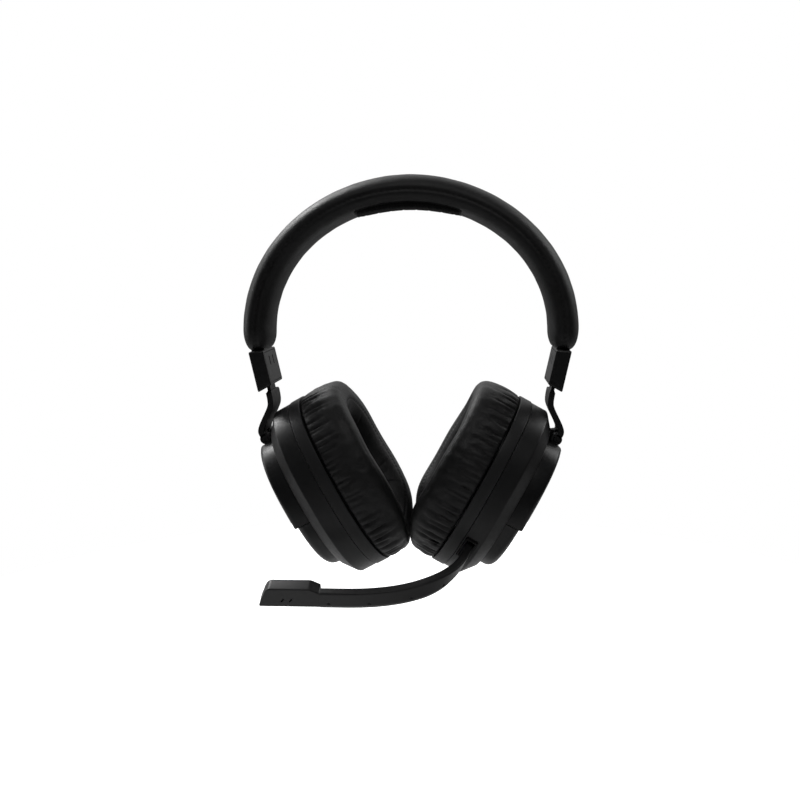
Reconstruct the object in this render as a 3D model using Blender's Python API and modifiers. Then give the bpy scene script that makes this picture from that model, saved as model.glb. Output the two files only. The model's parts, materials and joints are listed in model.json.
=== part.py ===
"""Wireless gaming headset: padded headband, sliding arms, tilting ear cups and a swinging microphone boom.

Metres, +Z up. The wearer faces -Y, so +X is the wearer's left. The origin is the middle of the crown
pad's underside, where the headband rests on the head. At rest both arms are pushed in and both cups
are toed in until the ear cushions almost meet.
"""

import math

import bmesh
import bpy
from mathutils import Matrix, Vector

# ---------------------------------------------------------------- driving dimensions
GAP = 0.0003                     # clearance between neighbouring pieces
WELD = 0.00001                   # merge distance for the small meshes made here
EDGE = 0.0004                    # small edge bevel

BAND_HALF_WIDTH = 0.0825         # headband arc, to the middle of the sleeve
BAND_RISE = 0.0745               # widest point of the arc up to its crown
BAND_THICKNESS = 0.0164
BAND_DEPTH = 0.033
BAND_END_ANGLE = math.radians(-5.8)      # where the sleeve ends, below the widest point
BAND_END_TAPER = 0.0105          # length over which the sleeve's ends draw in
BAND_END_SCALE = 0.66
BAND_STEPS = 32
SPRING_THICKNESS = 0.001
SPRING_WIDTH = 0.018
SPRING_SET_OUT = 0.0009          # spring's middle from the inner wall of the slider's channel
SPRING_END_ANGLE = math.radians(-11.0)
CROWN_PAD_DROP = 0.0013          # the pad's underside below the sleeve's
CROWN_PAD_HALF_ANGLE = math.radians(21)
CROWN_PAD_DEPTH = 0.025
CROWN_PAD_THICKNESS = 0.004

SLIDER_LEAN = math.radians(12.5)         # the slide's direction leans in towards the chin
SLIDER_SET_IN = 0.0027           # slider's centre inside the arc's widest point, and below it
SLIDER_BELOW_BAND = 0.0198
SLIDER_THICKNESS = 0.0080
SLIDER_TOP = 0.0098              # housing ends above and below its centre, along the slide
SLIDER_TOP_RISE = 0.0009
SLIDER_BOTTOM = 0.0092
SLIDER_BOTTOM_DROP = 0.0024
NECK_HEIGHT = 0.005              # collar above the slider housing, held in the sleeve's end
NECK_DEPTH = 0.0216
NECK_WALL = 0.0013               # collar's wall outside the tongue
NECK_STEP = 0.0001               # collar set in from the slider's inner face
SLIDER_COVER_WIDTH = 0.0288
SPRING_SLOT_DEPTH = 0.0075
SHOE_LOW = -0.0084
SLIDER_COVER = 0.0010
COVER_SLOT_WIDTH = 0.0016
COVER_SLOT_LOW = 0.0010
COVER_SLOT_HIGH = 0.0060
COVER_SLOT_SIDE = 0.0045
SLIDE_TRAVEL = 0.020

TONGUE_THICKNESS = 0.0018
TONGUE_SET_OUT = 0.0016          # tongue's inner face from the channel's inner wall
TONGUE_WIDTH = 0.014
STOP_PIN_RADIUS = 0.0011
STOP_PIN_UP = 0.0005             # the pin's place along the slide, from the slider's centre
STOP_PIN_REACH = 0.0017          # the pin's length beyond the tongue
TONGUE_END_MARGIN = 0.0025       # tongue left above the stop slot
SHOE_HEIGHT = 0.006
SHOE_WIDTH = 0.012

ARM_THICKNESS = 0.0031
ARM_DEPTH = 0.0225
WAIST_SET_IN = 0.00710753       # top of the S-bend in from the tilt axis, across the slider
SHOULDER_DROP = 0.0135           # slider centre to where the tongue becomes the wide arm
PIVOT_RADIUS = 0.0015
KNUCKLE_RADIUS = 0.0031
LUG_WIDTH = 0.0085

CUP_TOE_IN = math.radians(29)
CUP_HALF_HEIGHT = 0.0502
CUP_HALF_DEPTH = 0.041
CUP_SQUARENESS = 2.35            # exponent of the oval; 2 would be an ellipse
CUP_STEPS = 40
PIVOT_OUT = 0.0269               # tilt axis from the cushion's seam, along the ear axis
PIVOT_BELOW_TOP = 0.0097         # tilt axis below the top of the cup
PIVOT_DROP = 0.038219            # tilt axis below the slider's centre, with the arm pushed in
CUSHION_STAND = 0.01865532      # cushion's crest in from the slider's centre, less the cup behind it
TILT_OPEN = math.radians(29)

RIM_OVERHANG = 0.0004
RIM_DEPTH = 0.0069
BAFFLE_WALL = 0.002
HOUSING_WALL = 0.002
WALL_OUT = 0.0166                # where the straight wall turns into the bevel
FLOOR_OUT = 0.0224               # flat outer floor of the housing
BEVEL_DROP_UP = 0.0070
BEVEL_DROP_SIDE = 0.0050
PLATE_SET_IN_UP = 0.0108         # outline of the outer plate inside the cup's
PLATE_SET_IN_SIDE = 0.0058
PLATE_OUT = 0.0320
LOWER_COVER_OUT = 0.0307
PLATE_ROUND = 0.0022
LOWER_COVER_ROUND = 0.0042
PLATE_WALL = 0.0016
PLATE_SPLIT = -0.0080            # plate above, lower cover below

CUSHION_WIDTH = 0.0211           # radial width of the cushion ring
CUSHION_THICKNESS = 0.0202       # at mid height
CUSHION_WEDGE = 3.5              # share of thickness gained per metre up the cup
CUSHION_SQUARENESS = 2.1
CUSHION_BACK_SQUARENESS = 5.0
CUSHION_BULGE = 0.0006           # stands this far outside the cup's wall
CUSHION_LEAN = 0.0015            # the crest stands this far towards the opening
CUSHION_STEPS = 40
CUSHION_FRAME_SET_IN = 0.0030
CUSHION_FRAME_THICKNESS = 0.0015

DRIVER_RADIUS = 0.020
DRIVER_HOLE_RADIUS = 0.0186
GRILLE_THICKNESS = 0.0010
GRILLE_HOLE_RADIUS = 0.0016
GRILLE_PITCH = 0.0058

BOOM_ROOT_UP = -0.0310           # boom socket's place on the cup's wall
BOOM_OUT = 0.0113
BOOM_THICKNESS = 0.0046
BOOM_ROOT_THICKNESS = 0.0040
BOOM_WIDTH = 0.0102
BOOM_ROOT_WIDTH = 0.0076
BOOM_ROOT_RUN = 0.040            # run over which the ribbon grows from its root to its full section
BOOM_FORWARD = 0.0375            # forward and sideways reach of the boom's bend
BOOM_SIDEWAYS = 0.060
BOOM_FALL = math.radians(25.5)     # the bend's plane drops this much below level
BOOM_TIP_X = -0.0415             # where the ribbon enters the microphone housing
BOOM_SWING = math.radians(45)
DIMPLE_X = (-0.037, -0.017, 0.003, 0.018)         # world X of the dimples along the ribbon
DIMPLE_RADIUS = 0.0007
DIMPLE_DEPTH = 0.0004
DIMPLE_DROP = 0.0016             # below the ribbon's middle line
HUB_RADIUS = 0.0040
BOOM_PIN_RADIUS = 0.0009
SOCKET_WALL = 0.0007
SOCKET_DEPTH = 0.0075
SOCKET_PROUD = 0.0005
SOCKET_UP_REACH = 0.0072         # along the wall from the swing axis: room for the upward swing
SOCKET_DOWN_REACH = 0.0046
BOOM_SINK = 0.0010               # the swing axis lies this far under the wall's surface

MIC_LENGTH = 0.0310
MIC_HEIGHT = 0.0118
MIC_THICKNESS = 0.0076
MIC_LEAN = 0.0060
MIC_SHOULDER = 0.0046            # length of the slope up from the ribbon
MIC_RISE = 0.0009                # its lower edge above the ribbon's
MIC_ELEMENT_RADIUS = 0.0030
MIC_ELEMENT_DEPTH = 0.0022
MIC_COVER_THICKNESS = 0.0010
MIC_COVER_LOW = (0.0070, -0.0036)
MIC_COVER_HIGH = (0.0235, 0.0062)
MIC_ELEMENT_PLACE = (0.0165, 0.0002)
SOUND_SLOT_SIDE = 0.0021         # each slot's middle from the element's
SOUND_SLOT_LEAN = math.radians(38)
MIC_TENON = 0.0030
TENON_WIDTH = 0.0058
TENON_THICKNESS = 0.0026

WHEEL_RADIUS = 0.0085
WHEEL_THICKNESS = 0.0044
WHEEL_PROUD = 0.0019
WHEEL_UP = 0.004
WHEEL_TEETH = 20
ENCODER_SHAFT_RADIUS = 0.0015
BUTTON_LENGTH = 0.0090
BUTTON_HEIGHT = 0.0040
BUTTON_TRAVEL = 0.0006
BUTTON_PROUD = 0.0011
BUTTON_LIP = 0.0009
BUTTON_FOOT = 0.0038             # the lip's inner face under the cup's wall
BUTTON_LIP_THICKNESS = 0.0010
BUTTON_SINK = 0.0006             # the key's body runs this far into its lip
MUTE_UP = -0.012
POWER_UP = -0.025
CONTROL_OUT = 0.0120             # the controls' line, midway across the cup's wall

SWITCH_HALF = 0.0020
SWITCH_HEIGHT = 0.0040
SWITCH_STEP = 0.0016             # the switch's foot stands this much further in than its top
BATTERY_SIZE = (0.0052, 0.030, 0.034)
BOARD_THICKNESS = 0.0012
BOARD_SET_IN_UP = 0.0137         # outline of the board inside the cup's
BOARD_SET_IN_SIDE = 0.0075
PORT_DEPTH = 0.012               # the port's place on the cup's underside, towards the back
PORT_HALF_WIDTH = 0.0047
PORT_HALF_HEIGHT = 0.00185
PORT_LENGTH = 0.0068
LIGHT_DEPTH = 0.023
LIGHT_RADIUS = 0.0011

# ---------------------------------------------------------------- sizes that follow from these
BAND_CENTRE_Z = CROWN_PAD_DROP + BAND_THICKNESS / 2 - BAND_RISE
CROWN_PAD_RAISE = -BAND_THICKNESS / 2 - CROWN_PAD_DROP + CROWN_PAD_THICKNESS / 2
SLIDER_CENTRE_X = BAND_HALF_WIDTH - SLIDER_SET_IN
SLIDER_CENTRE_Z = BAND_CENTRE_Z - SLIDER_BELOW_BAND
PIVOT_UP = CUP_HALF_HEIGHT - PIVOT_BELOW_TOP
PIVOT_SET_IN = CUSHION_STAND - CUSHION_THICKNESS * math.cos(CUP_TOE_IN)
PIVOT_X = SLIDER_CENTRE_X - PIVOT_SET_IN
PIVOT_Z = SLIDER_CENTRE_Z - PIVOT_DROP
CUP_CENTRE_X = PIVOT_X - PIVOT_OUT * math.cos(CUP_TOE_IN) - PIVOT_UP * math.sin(CUP_TOE_IN)
CUP_CENTRE_Z = PIVOT_Z + PIVOT_OUT * math.sin(CUP_TOE_IN) - PIVOT_UP * math.cos(CUP_TOE_IN)
PLATE_HALF_HEIGHT = CUP_HALF_HEIGHT - PLATE_SET_IN_UP
PLATE_HALF_DEPTH = CUP_HALF_DEPTH - PLATE_SET_IN_SIDE
CHANNEL_INNER = -SLIDER_THICKNESS / 2 + SLIDER_COVER + GAP
STRIP_SET_IN = CHANNEL_INNER + SPRING_SET_OUT
TONGUE_INNER = CHANNEL_INNER + TONGUE_SET_OUT
STOP_PIN_END = TONGUE_INNER + TONGUE_THICKNESS + STOP_PIN_REACH
NECK_INNER = -SLIDER_THICKNESS / 2 + NECK_STEP
NECK_OUTER = TONGUE_INNER + TONGUE_THICKNESS + NECK_WALL
NECK_TOP = SLIDER_TOP + NECK_HEIGHT
TONGUE_TOP = STOP_PIN_UP + SLIDE_TRAVEL + STOP_PIN_RADIUS + TONGUE_END_MARGIN
SLIDER_COVER_LOW = -SLIDER_BOTTOM + 0.0014
SLIDER_COVER_HIGH = SLIDER_TOP - 0.0014
PIN_ROOM = ARM_DEPTH / 2 + 2 * GAP
EAR_HALF_HEIGHT = CUP_HALF_HEIGHT - CUSHION_WIDTH
EAR_HALF_DEPTH = CUP_HALF_DEPTH - CUSHION_WIDTH
BOARD_HALF_HEIGHT = CUP_HALF_HEIGHT - BOARD_SET_IN_UP
BOARD_HALF_DEPTH = CUP_HALF_DEPTH - BOARD_SET_IN_SIDE
BOARD_OUT = FLOOR_OUT - HOUSING_WALL - GAP - BOARD_THICKNESS
MIC_FACE = -BOOM_THICKNESS / 2   # front face, flush with the ribbon's
MIC_BACK = MIC_FACE + MIC_THICKNESS
MIC_POCKET_FLOOR = MIC_FACE + 0.0013
CUP_OFFSET = (-PIVOT_OUT, 0.0, -PIVOT_UP)    # cup coordinates start at the seam's middle
XZ_PLANE = Matrix.Rotation(math.radians(90), 4, "X")     # curve XY plane to world XZ
FACE_PLANE = Matrix(((0, 0, 1, 0), (1, 0, 0, 0), (0, 1, 0, 0), (0, 0, 0, 1)))  # XY to the cup's face

FINISHES = {                     # colour, roughness, metallic
    "leatherette": ((0.012, 0.012, 0.013), 0.5, 0.0),
    "spring_steel": ((0.5, 0.5, 0.52), 0.3, 1.0),
    "pad_mesh": ((0.008, 0.008, 0.009), 0.9, 0.0),
    "satin_plastic": ((0.02, 0.02, 0.021), 0.42, 0.0),
    "pin_steel": ((0.55, 0.55, 0.56), 0.35, 1.0),
    "shoe_nylon": ((0.75, 0.75, 0.72), 0.5, 0.0),
    "arm_steel": ((0.03, 0.03, 0.032), 0.35, 0.6),
    "cup_plastic": ((0.015, 0.015, 0.016), 0.4, 0.0),
    "plate_plastic": ((0.013, 0.013, 0.014), 0.36, 0.0),
    "rim_plastic": ((0.02, 0.02, 0.021), 0.5, 0.0),
    "driver_metal": ((0.25, 0.25, 0.26), 0.4, 0.8),
    "grille_steel": ((0.01, 0.01, 0.01), 0.6, 0.3),
    "boom_plastic": ((0.018, 0.018, 0.019), 0.45, 0.0),
    "wheel_rubber": ((0.012, 0.012, 0.012), 0.6, 0.0),
    "component_black": ((0.03, 0.03, 0.03), 0.5, 0.0),
    "board_green": ((0.02, 0.12, 0.05), 0.5, 0.0),
    "key_plastic": ((0.02, 0.02, 0.02), 0.45, 0.0),
    "port_steel": ((0.6, 0.6, 0.6), 0.3, 1.0),
    "light_lens": ((0.7, 0.72, 0.7), 0.25, 0.0),
    "battery_foil": ((0.35, 0.36, 0.38), 0.35, 0.5),
}

# ---------------------------------------------------------------- scene helpers
PARTS = None
CUTTERS = None


def clear_scene():
    for obj in list(bpy.data.objects):
        bpy.data.objects.remove(obj, do_unlink=True)


def make_collection(name):
    collection = bpy.data.collections.new(name)
    bpy.context.scene.collection.children.link(collection)
    return collection


def material(name):
    found = bpy.data.materials.get(name)
    if found:
        return found
    colour, roughness, metallic = FINISHES[name]
    mat = bpy.data.materials.new(name)
    mat.use_nodes = True
    shader = mat.node_tree.nodes["Principled BSDF"]
    shader.inputs["Base Color"].default_value = (*colour, 1.0)
    shader.inputs["Roughness"].default_value = roughness
    shader.inputs["Metallic"].default_value = metallic
    return mat


def empty(name, location, turn_y=0.0, parent=None):
    obj = bpy.data.objects.new(name, None)
    obj.location = location
    obj.rotation_euler = (0.0, turn_y, 0.0)
    obj.parent = parent
    PARTS.objects.link(obj)
    return obj


def add_object(name, mesh, parent=None, location=(0, 0, 0), collection=None):
    obj = bpy.data.objects.new(name, mesh)
    obj.location = location
    obj.parent = parent
    (collection or PARTS).objects.link(obj)
    return obj


def as_cutter(obj):
    """Hides a cutting shape from renders and shows it as wires."""
    PARTS.objects.unlink(obj)
    CUTTERS.objects.link(obj)
    obj.hide_render = True
    obj.display_type = "WIRE"
    return obj


def mesh_from(bm, name, angle=35):
    bmesh.ops.remove_doubles(bm, verts=bm.verts, dist=WELD)
    bmesh.ops.recalc_face_normals(bm, faces=bm.faces)
    mesh = bpy.data.meshes.new(name)
    bm.to_mesh(mesh)
    bm.free()
    mesh.shade_smooth()
    mesh.set_sharp_from_angle(angle=math.radians(angle))
    return mesh


def paint(obj, mat):
    obj.data.materials.clear()
    obj.data.materials.append(mat)
    return obj


def boolean(obj, other, operation="DIFFERENCE"):
    mod = obj.modifiers.new(f"{operation.lower()}_{other.name}", "BOOLEAN")
    mod.operation = operation
    mod.solver = "EXACT"
    mod.object = other
    return obj


def bevel(obj, width, segments=2, angle=40):
    mod = obj.modifiers.new("edges", "BEVEL")
    mod.width = width
    mod.segments = segments
    mod.limit_method = "ANGLE"
    mod.angle_limit = math.radians(angle)
    return obj


def solidify(obj, thickness, offset=-1.0):
    mod = obj.modifiers.new("wall", "SOLIDIFY")
    mod.thickness = thickness
    mod.offset = offset
    mod.use_even_offset = True
    return obj


def evaluated_mesh(obj):
    bpy.context.view_layer.update()
    graph = bpy.context.evaluated_depsgraph_get()
    return bpy.data.meshes.new_from_object(obj.evaluated_get(graph), depsgraph=graph)


def settle(obj):
    """Applies an object's modifiers, so that further shapes can build on the result."""
    mesh = evaluated_mesh(obj)
    obj.modifiers.clear()
    obj.data = mesh
    return obj


def mirrored(obj, name, parent):
    """The other side's piece: the same mesh reflected across its own X = 0 plane."""
    mesh = evaluated_mesh(obj)
    mesh.transform(Matrix.Diagonal((-1.0, 1.0, 1.0, 1.0)))
    mesh.flip_normals()
    place = obj.location.copy()
    place.x = -place.x
    twin = add_object(name, mesh, parent, place)
    twin.rotation_euler = (obj.rotation_euler.x, -obj.rotation_euler.y, -obj.rotation_euler.z)
    return twin


# ---------------------------------------------------------------- shape helpers
def box(name, low, high, parent=None, location=(0, 0, 0)):
    bm = bmesh.new()
    bmesh.ops.create_cube(bm, size=1.0)
    low, high = Vector(low), Vector(high)
    size, middle = high - low, (high + low) / 2
    bm.transform(Matrix.Translation(middle) @ Matrix.Diagonal((*size, 1.0)))
    return add_object(name, mesh_from(bm, name), parent, location)


def cylinder(name, radius, length, centre, axis, segments=24, parent=None, location=(0, 0, 0)):
    bm = bmesh.new()
    bmesh.ops.create_cone(
        bm, cap_ends=True, segments=segments, radius1=radius, radius2=radius, depth=length
    )
    turn = Vector((0, 0, 1)).rotation_difference(Vector(axis)).to_matrix().to_4x4()
    bm.transform(Matrix.Translation(Vector(centre)) @ turn)
    return add_object(name, mesh_from(bm, name), parent, location)


def loft(name, rings, parent=None, location=(0, 0, 0), caps=(True, True), closed=False, angle=35):
    """Bridges rings of equal point count; caps close the first and last, closed joins last to first."""
    bm = bmesh.new()
    rows = [[bm.verts.new(point) for point in ring] for ring in rings]
    pairs = list(zip(rows, rows[1:]))
    if closed:
        pairs.append((rows[-1], rows[0]))
    for first, second in pairs:
        for i in range(len(first)):
            j = (i + 1) % len(first)
            bm.faces.new((first[i], first[j], second[j], second[i]))
    if caps[0] and not closed:
        bm.faces.new(rows[0])
    if caps[1] and not closed:
        bm.faces.new(rows[-1])
    return add_object(name, mesh_from(bm, name, angle), parent, location)


def flat_outline(name, points, half_depth, parent=None, location=(0, 0, 0), turn=None):
    """A filled 2D curve extruded both ways, as a mesh; turn carries the curve's XY plane into place."""
    curve = bpy.data.curves.new(name, "CURVE")
    curve.dimensions = "2D"
    curve.fill_mode = "BOTH"
    curve.extrude = half_depth
    spline = curve.splines.new("POLY")
    spline.points.add(len(points) - 1)
    for slot, (x, y) in zip(spline.points, points):
        slot.co = (x, y, 0.0, 1.0)
    spline.use_cyclic_u = True
    guide = bpy.data.objects.new(name + "_outline", curve)
    bpy.context.scene.collection.objects.link(guide)
    mesh = evaluated_mesh(guide)
    bpy.data.objects.remove(guide)
    bm = bmesh.new()
    bm.from_mesh(mesh)
    bpy.data.meshes.remove(mesh)
    bm.transform(turn or Matrix.Identity(4))
    return add_object(name, mesh_from(bm, name), parent, location)


def turned(name, profile, segments, parent=None, location=(0, 0, 0)):
    """A profile of (radius, along) points turned about the local X axis."""
    rings = []
    for radius, along in profile:
        ring = []
        for i in range(segments):
            a = 2 * math.pi * i / segments
            ring.append((along, radius * math.cos(a), radius * math.sin(a)))
        rings.append(ring)
    return loft(name, rings, parent, location)


def signed_power(value, power):
    return math.copysign(abs(value) ** power, value)


def oval(half_height, half_depth, out, steps=CUP_STEPS):
    """A ring of the cup's superellipse, at a distance out along the ear axis (local X)."""
    ring = []
    for i in range(steps):
        a = 2 * math.pi * i / steps
        y = half_depth * signed_power(math.cos(a), 2 / CUP_SQUARENESS)
        z = half_height * signed_power(math.sin(a), 2 / CUP_SQUARENESS)
        ring.append(Vector((out, y, z)))
    return ring


def cup_ring(inset, out, steps=CUP_STEPS):
    return oval(CUP_HALF_HEIGHT - inset, CUP_HALF_DEPTH - inset, out, steps)


def oval_depth_at(up, half_height=CUP_HALF_HEIGHT, half_depth=CUP_HALF_DEPTH):
    """Half depth of an oval at a height up the cup."""
    share = 1 - (abs(up) / half_height) ** CUP_SQUARENESS
    return half_depth * share ** (1 / CUP_SQUARENESS)


def hermite(start, start_slope, end, end_slope, steps):
    """Points of a cubic from start to end with the given end slopes."""
    points = []
    for i in range(steps + 1):
        t = i / steps
        points.append(
            start * (2 * t**3 - 3 * t**2 + 1)
            + start_slope * (t**3 - 2 * t**2 + t)
            + end * (3 * t**2 - 2 * t**3)
            + end_slope * (t**3 - t**2)
        )
    return points


def ribbon_outline(points, half):
    """The outline of a strip of constant thickness along a planar centreline."""
    left, right = [], []
    for i, point in enumerate(points):
        before = points[max(i - 1, 0)]
        after = points[min(i + 1, len(points) - 1)]
        along = (after - before).normalized()
        across = Vector((-along.y, along.x))
        left.append(point + across * half)
        right.append(point - across * half)
    return left + right[::-1]


# ---------------------------------------------------------------- headband
def band_point(angle, raise_by=0.0, side=0.0):
    """A point of the headband's arc; raise_by moves it outwards, side along the depth."""
    normal = Vector((math.cos(angle) * BAND_RISE, 0, math.sin(angle) * BAND_HALF_WIDTH))
    normal.normalize()
    foot = Vector((BAND_HALF_WIDTH * math.cos(angle), 0, BAND_CENTRE_Z + BAND_RISE * math.sin(angle)))
    return foot + normal * raise_by + Vector((0, side, 0))


def band_angles(first, last, steps):
    return [first + (last - first) * i / steps for i in range(steps + 1)]


def band_section(angle, half_thickness, half_depth, points=18, power=2.5):
    ring = []
    for i in range(points):
        a = 2 * math.pi * i / points
        up = half_thickness * signed_power(math.cos(a), 2 / power)
        side = half_depth * signed_power(math.sin(a), 2 / power)
        ring.append(band_point(angle, up, side))
    return ring


def end_scale(angle):
    """The sleeve draws in towards its ends along a quarter circle."""
    nearest = min(angle - BAND_END_ANGLE, math.pi - BAND_END_ANGLE - angle)
    run = nearest * BAND_RISE / BAND_END_TAPER
    if run >= 1:
        return 1.0
    return BAND_END_SCALE + (1 - BAND_END_SCALE) * math.sqrt(1 - (1 - max(run, 0.0)) ** 2)


def make_sleeve():
    """Padded sleeve with a channel for the spring and a pocket at each end for the arm's tongue."""
    taper = BAND_END_TAPER / BAND_RISE
    first, last = BAND_END_ANGLE, math.pi - BAND_END_ANGLE
    angles = [first, first + taper * 0.15, first + taper * 0.5]
    angles += band_angles(first + taper, last - taper, BAND_STEPS)
    angles += [last - taper * 0.5, last - taper * 0.15, last]
    rings = []
    for angle in angles:
        scale = end_scale(angle)
        rings.append(band_section(angle, BAND_THICKNESS / 2 * scale, BAND_DEPTH / 2 * (0.4 + 0.6 * scale)))
    sleeve = loft("headband_sleeve", rings)
    channel = arc_bar("spring_channel", SPRING_THICKNESS / 2 + GAP, SPRING_WIDTH / 2 + GAP,
                      first - 0.05, last + 0.05, STRIP_SET_IN)
    boolean(sleeve, as_cutter(channel))
    recess = arc_bar("crown_recess", CROWN_PAD_THICKNESS / 2 + GAP, CROWN_PAD_DEPTH / 2 + GAP,
                     math.pi / 2 - CROWN_PAD_HALF_ANGLE - 0.004,
                     math.pi / 2 + CROWN_PAD_HALF_ANGLE + 0.004, CROWN_PAD_RAISE, 18)
    boolean(sleeve, as_cutter(recess))
    return paint(sleeve, material("leatherette"))


def arc_bar(name, half_thickness, half_depth, first, last, raise_by, steps=BAND_STEPS):
    """A bar of rectangular section that follows the headband's arc."""
    rings = []
    for angle in band_angles(first, last, steps):
        rings.append([
            band_point(angle, raise_by + up, side)
            for up, side in (
                (-half_thickness, -half_depth), (half_thickness, -half_depth),
                (half_thickness, half_depth), (-half_thickness, half_depth),
            )
        ])
    return loft(name, rings)


def make_spring():
    spring = arc_bar("headband_spring", SPRING_THICKNESS / 2, SPRING_WIDTH / 2,
                     SPRING_END_ANGLE, math.pi - SPRING_END_ANGLE, STRIP_SET_IN)
    return paint(spring, material("spring_steel"))


def make_crown_pad():
    pad = arc_bar("crown_pad", CROWN_PAD_THICKNESS / 2, CROWN_PAD_DEPTH / 2,
                  math.pi / 2 - CROWN_PAD_HALF_ANGLE, math.pi / 2 + CROWN_PAD_HALF_ANGLE,
                  CROWN_PAD_RAISE, 16)
    bevel(pad, 0.0012, 1, 60)
    return paint(pad, material("pad_mesh"))


# ---------------------------------------------------------------- slider
def slider_frame():
    return Vector((SLIDER_CENTRE_X, 0, SLIDER_CENTRE_Z))


def slider_block(parent):
    """The housing before its rooms are cut: a leaning block with the collar on top."""
    half = SLIDER_THICKNESS / 2
    outline = [
        (half, SLIDER_TOP + SLIDER_TOP_RISE), (-half, SLIDER_TOP),
        (-half, -SLIDER_BOTTOM), (half, -SLIDER_BOTTOM - SLIDER_BOTTOM_DROP),
    ]
    housing = flat_outline("slider_housing_left", outline, BAND_DEPTH / 2, parent, turn=XZ_PLANE)
    bevel(housing, 0.0006, 2)
    settle(housing)
    neck = box("slider_neck", (NECK_INNER, -NECK_DEPTH / 2, 0), (NECK_OUTER, NECK_DEPTH / 2, NECK_TOP),
               parent)
    boolean(housing, as_cutter(neck), "UNION")
    return housing


def cut_arm_rooms(housing, parent):
    """Room for the arm's tongue and the friction shoe."""
    tongue_room = box("tongue_room", (TONGUE_INNER - GAP, -TONGUE_WIDTH / 2 - GAP, -0.02),
                      (TONGUE_INNER + TONGUE_THICKNESS + GAP, TONGUE_WIDTH / 2 + GAP, 0.02), parent)
    boolean(housing, as_cutter(tongue_room))
    shoe_room = box("shoe_room", (CHANNEL_INNER - GAP, -SHOE_WIDTH / 2 - GAP, SHOE_LOW - GAP),
                    (0, SHOE_WIDTH / 2 + GAP, SHOE_LOW + SHOE_HEIGHT + GAP), parent)
    boolean(housing, as_cutter(shoe_room))


def make_slider(parent):
    housing = slider_block(parent)
    half = SLIDER_THICKNESS / 2
    inner = box("slider_recess", (-half - 0.001, -SLIDER_COVER_WIDTH / 2 - GAP, SLIDER_COVER_LOW - GAP),
                (CHANNEL_INNER, SLIDER_COVER_WIDTH / 2 + GAP, SLIDER_COVER_HIGH + GAP), parent)
    boolean(housing, as_cutter(inner))
    cut_arm_rooms(housing, parent)
    spring_room = box("spring_room",
                      (CHANNEL_INNER - 2 * GAP, -SPRING_WIDTH / 2 - GAP, SLIDER_TOP - SPRING_SLOT_DEPTH),
                      (STRIP_SET_IN + SPRING_THICKNESS / 2 + 3 * GAP, SPRING_WIDTH / 2 + GAP, 0.02), parent)
    boolean(housing, as_cutter(spring_room))
    reach = STOP_PIN_END + GAP - CHANNEL_INNER
    pin_room = cylinder("stop_pin_room", STOP_PIN_RADIUS + GAP, reach,
                        (STOP_PIN_END + GAP - reach / 2, 0, STOP_PIN_UP), (1, 0, 0), 12, parent)
    boolean(housing, as_cutter(pin_room))
    return paint(housing, material("satin_plastic"))


def make_slider_cover(parent):
    """Inner cover plate with two short slots side by side in its upper half."""
    half = SLIDER_THICKNESS / 2
    cover = box("slider_cover_left", (-half, -SLIDER_COVER_WIDTH / 2, SLIDER_COVER_LOW),
                (-half + SLIDER_COVER, SLIDER_COVER_WIDTH / 2, SLIDER_COVER_HIGH), parent)
    for name, side in (("cover_slot_front", -1), ("cover_slot_back", 1)):
        middle = side * COVER_SLOT_SIDE
        slot = box(name, (-half - 0.001, middle - COVER_SLOT_WIDTH / 2, COVER_SLOT_LOW),
                   (-half + 0.003, middle + COVER_SLOT_WIDTH / 2, COVER_SLOT_HIGH), parent)
        boolean(cover, as_cutter(slot))
    return paint(cover, material("satin_plastic"))


def make_stop_pin(parent):
    low, high = CHANNEL_INNER + GAP, STOP_PIN_END
    pin = cylinder("stop_pin_left", STOP_PIN_RADIUS, high - low, ((low + high) / 2, 0, STOP_PIN_UP),
                   (1, 0, 0), 12, parent)
    return paint(pin, material("pin_steel"))


def make_slide_shoe(parent):
    """Friction shoe that presses on the tongue, just under the stop pin."""
    shoe = box("slide_shoe_left", (CHANNEL_INNER, -SHOE_WIDTH / 2, SHOE_LOW),
               (TONGUE_INNER - GAP, SHOE_WIDTH / 2, SHOE_LOW + SHOE_HEIGHT), parent)
    bevel(shoe, 0.0002, 1)
    return paint(shoe, material("shoe_nylon"))


# ---------------------------------------------------------------- sliding arm
def arm_centreline():
    """The S-bend in the slider's own plane: down from the tongue, in, then out to the tilt axis."""
    centre = slider_frame()
    away = Vector((PIVOT_X - centre.x, PIVOT_Z - centre.z))
    c, s = math.cos(SLIDER_LEAN), math.sin(SLIDER_LEAN)
    pivot_local = Vector((away.x * c - away.y * s, away.x * s + away.y * c))
    middle = TONGUE_INNER + TONGUE_THICKNESS / 2
    top = Vector((middle, -SHOULDER_DROP + 0.0035))
    waist = Vector((pivot_local.x - WAIST_SET_IN, -SHOULDER_DROP - 0.0065))
    bulge = pivot_local + Vector((0.0016, 0.0042))
    points = hermite(top, Vector((-0.001, -0.009)), waist, Vector((0.0022, -0.0075)), 7)
    points += hermite(waist, Vector((0.0030, -0.0100)), bulge, Vector((0.0010, -0.0095)), 7)[1:]
    points += hermite(bulge, Vector((0.0004, -0.0035)), pivot_local, Vector((-0.0030, -0.0040)), 5)[1:]
    return points, pivot_local


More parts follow.
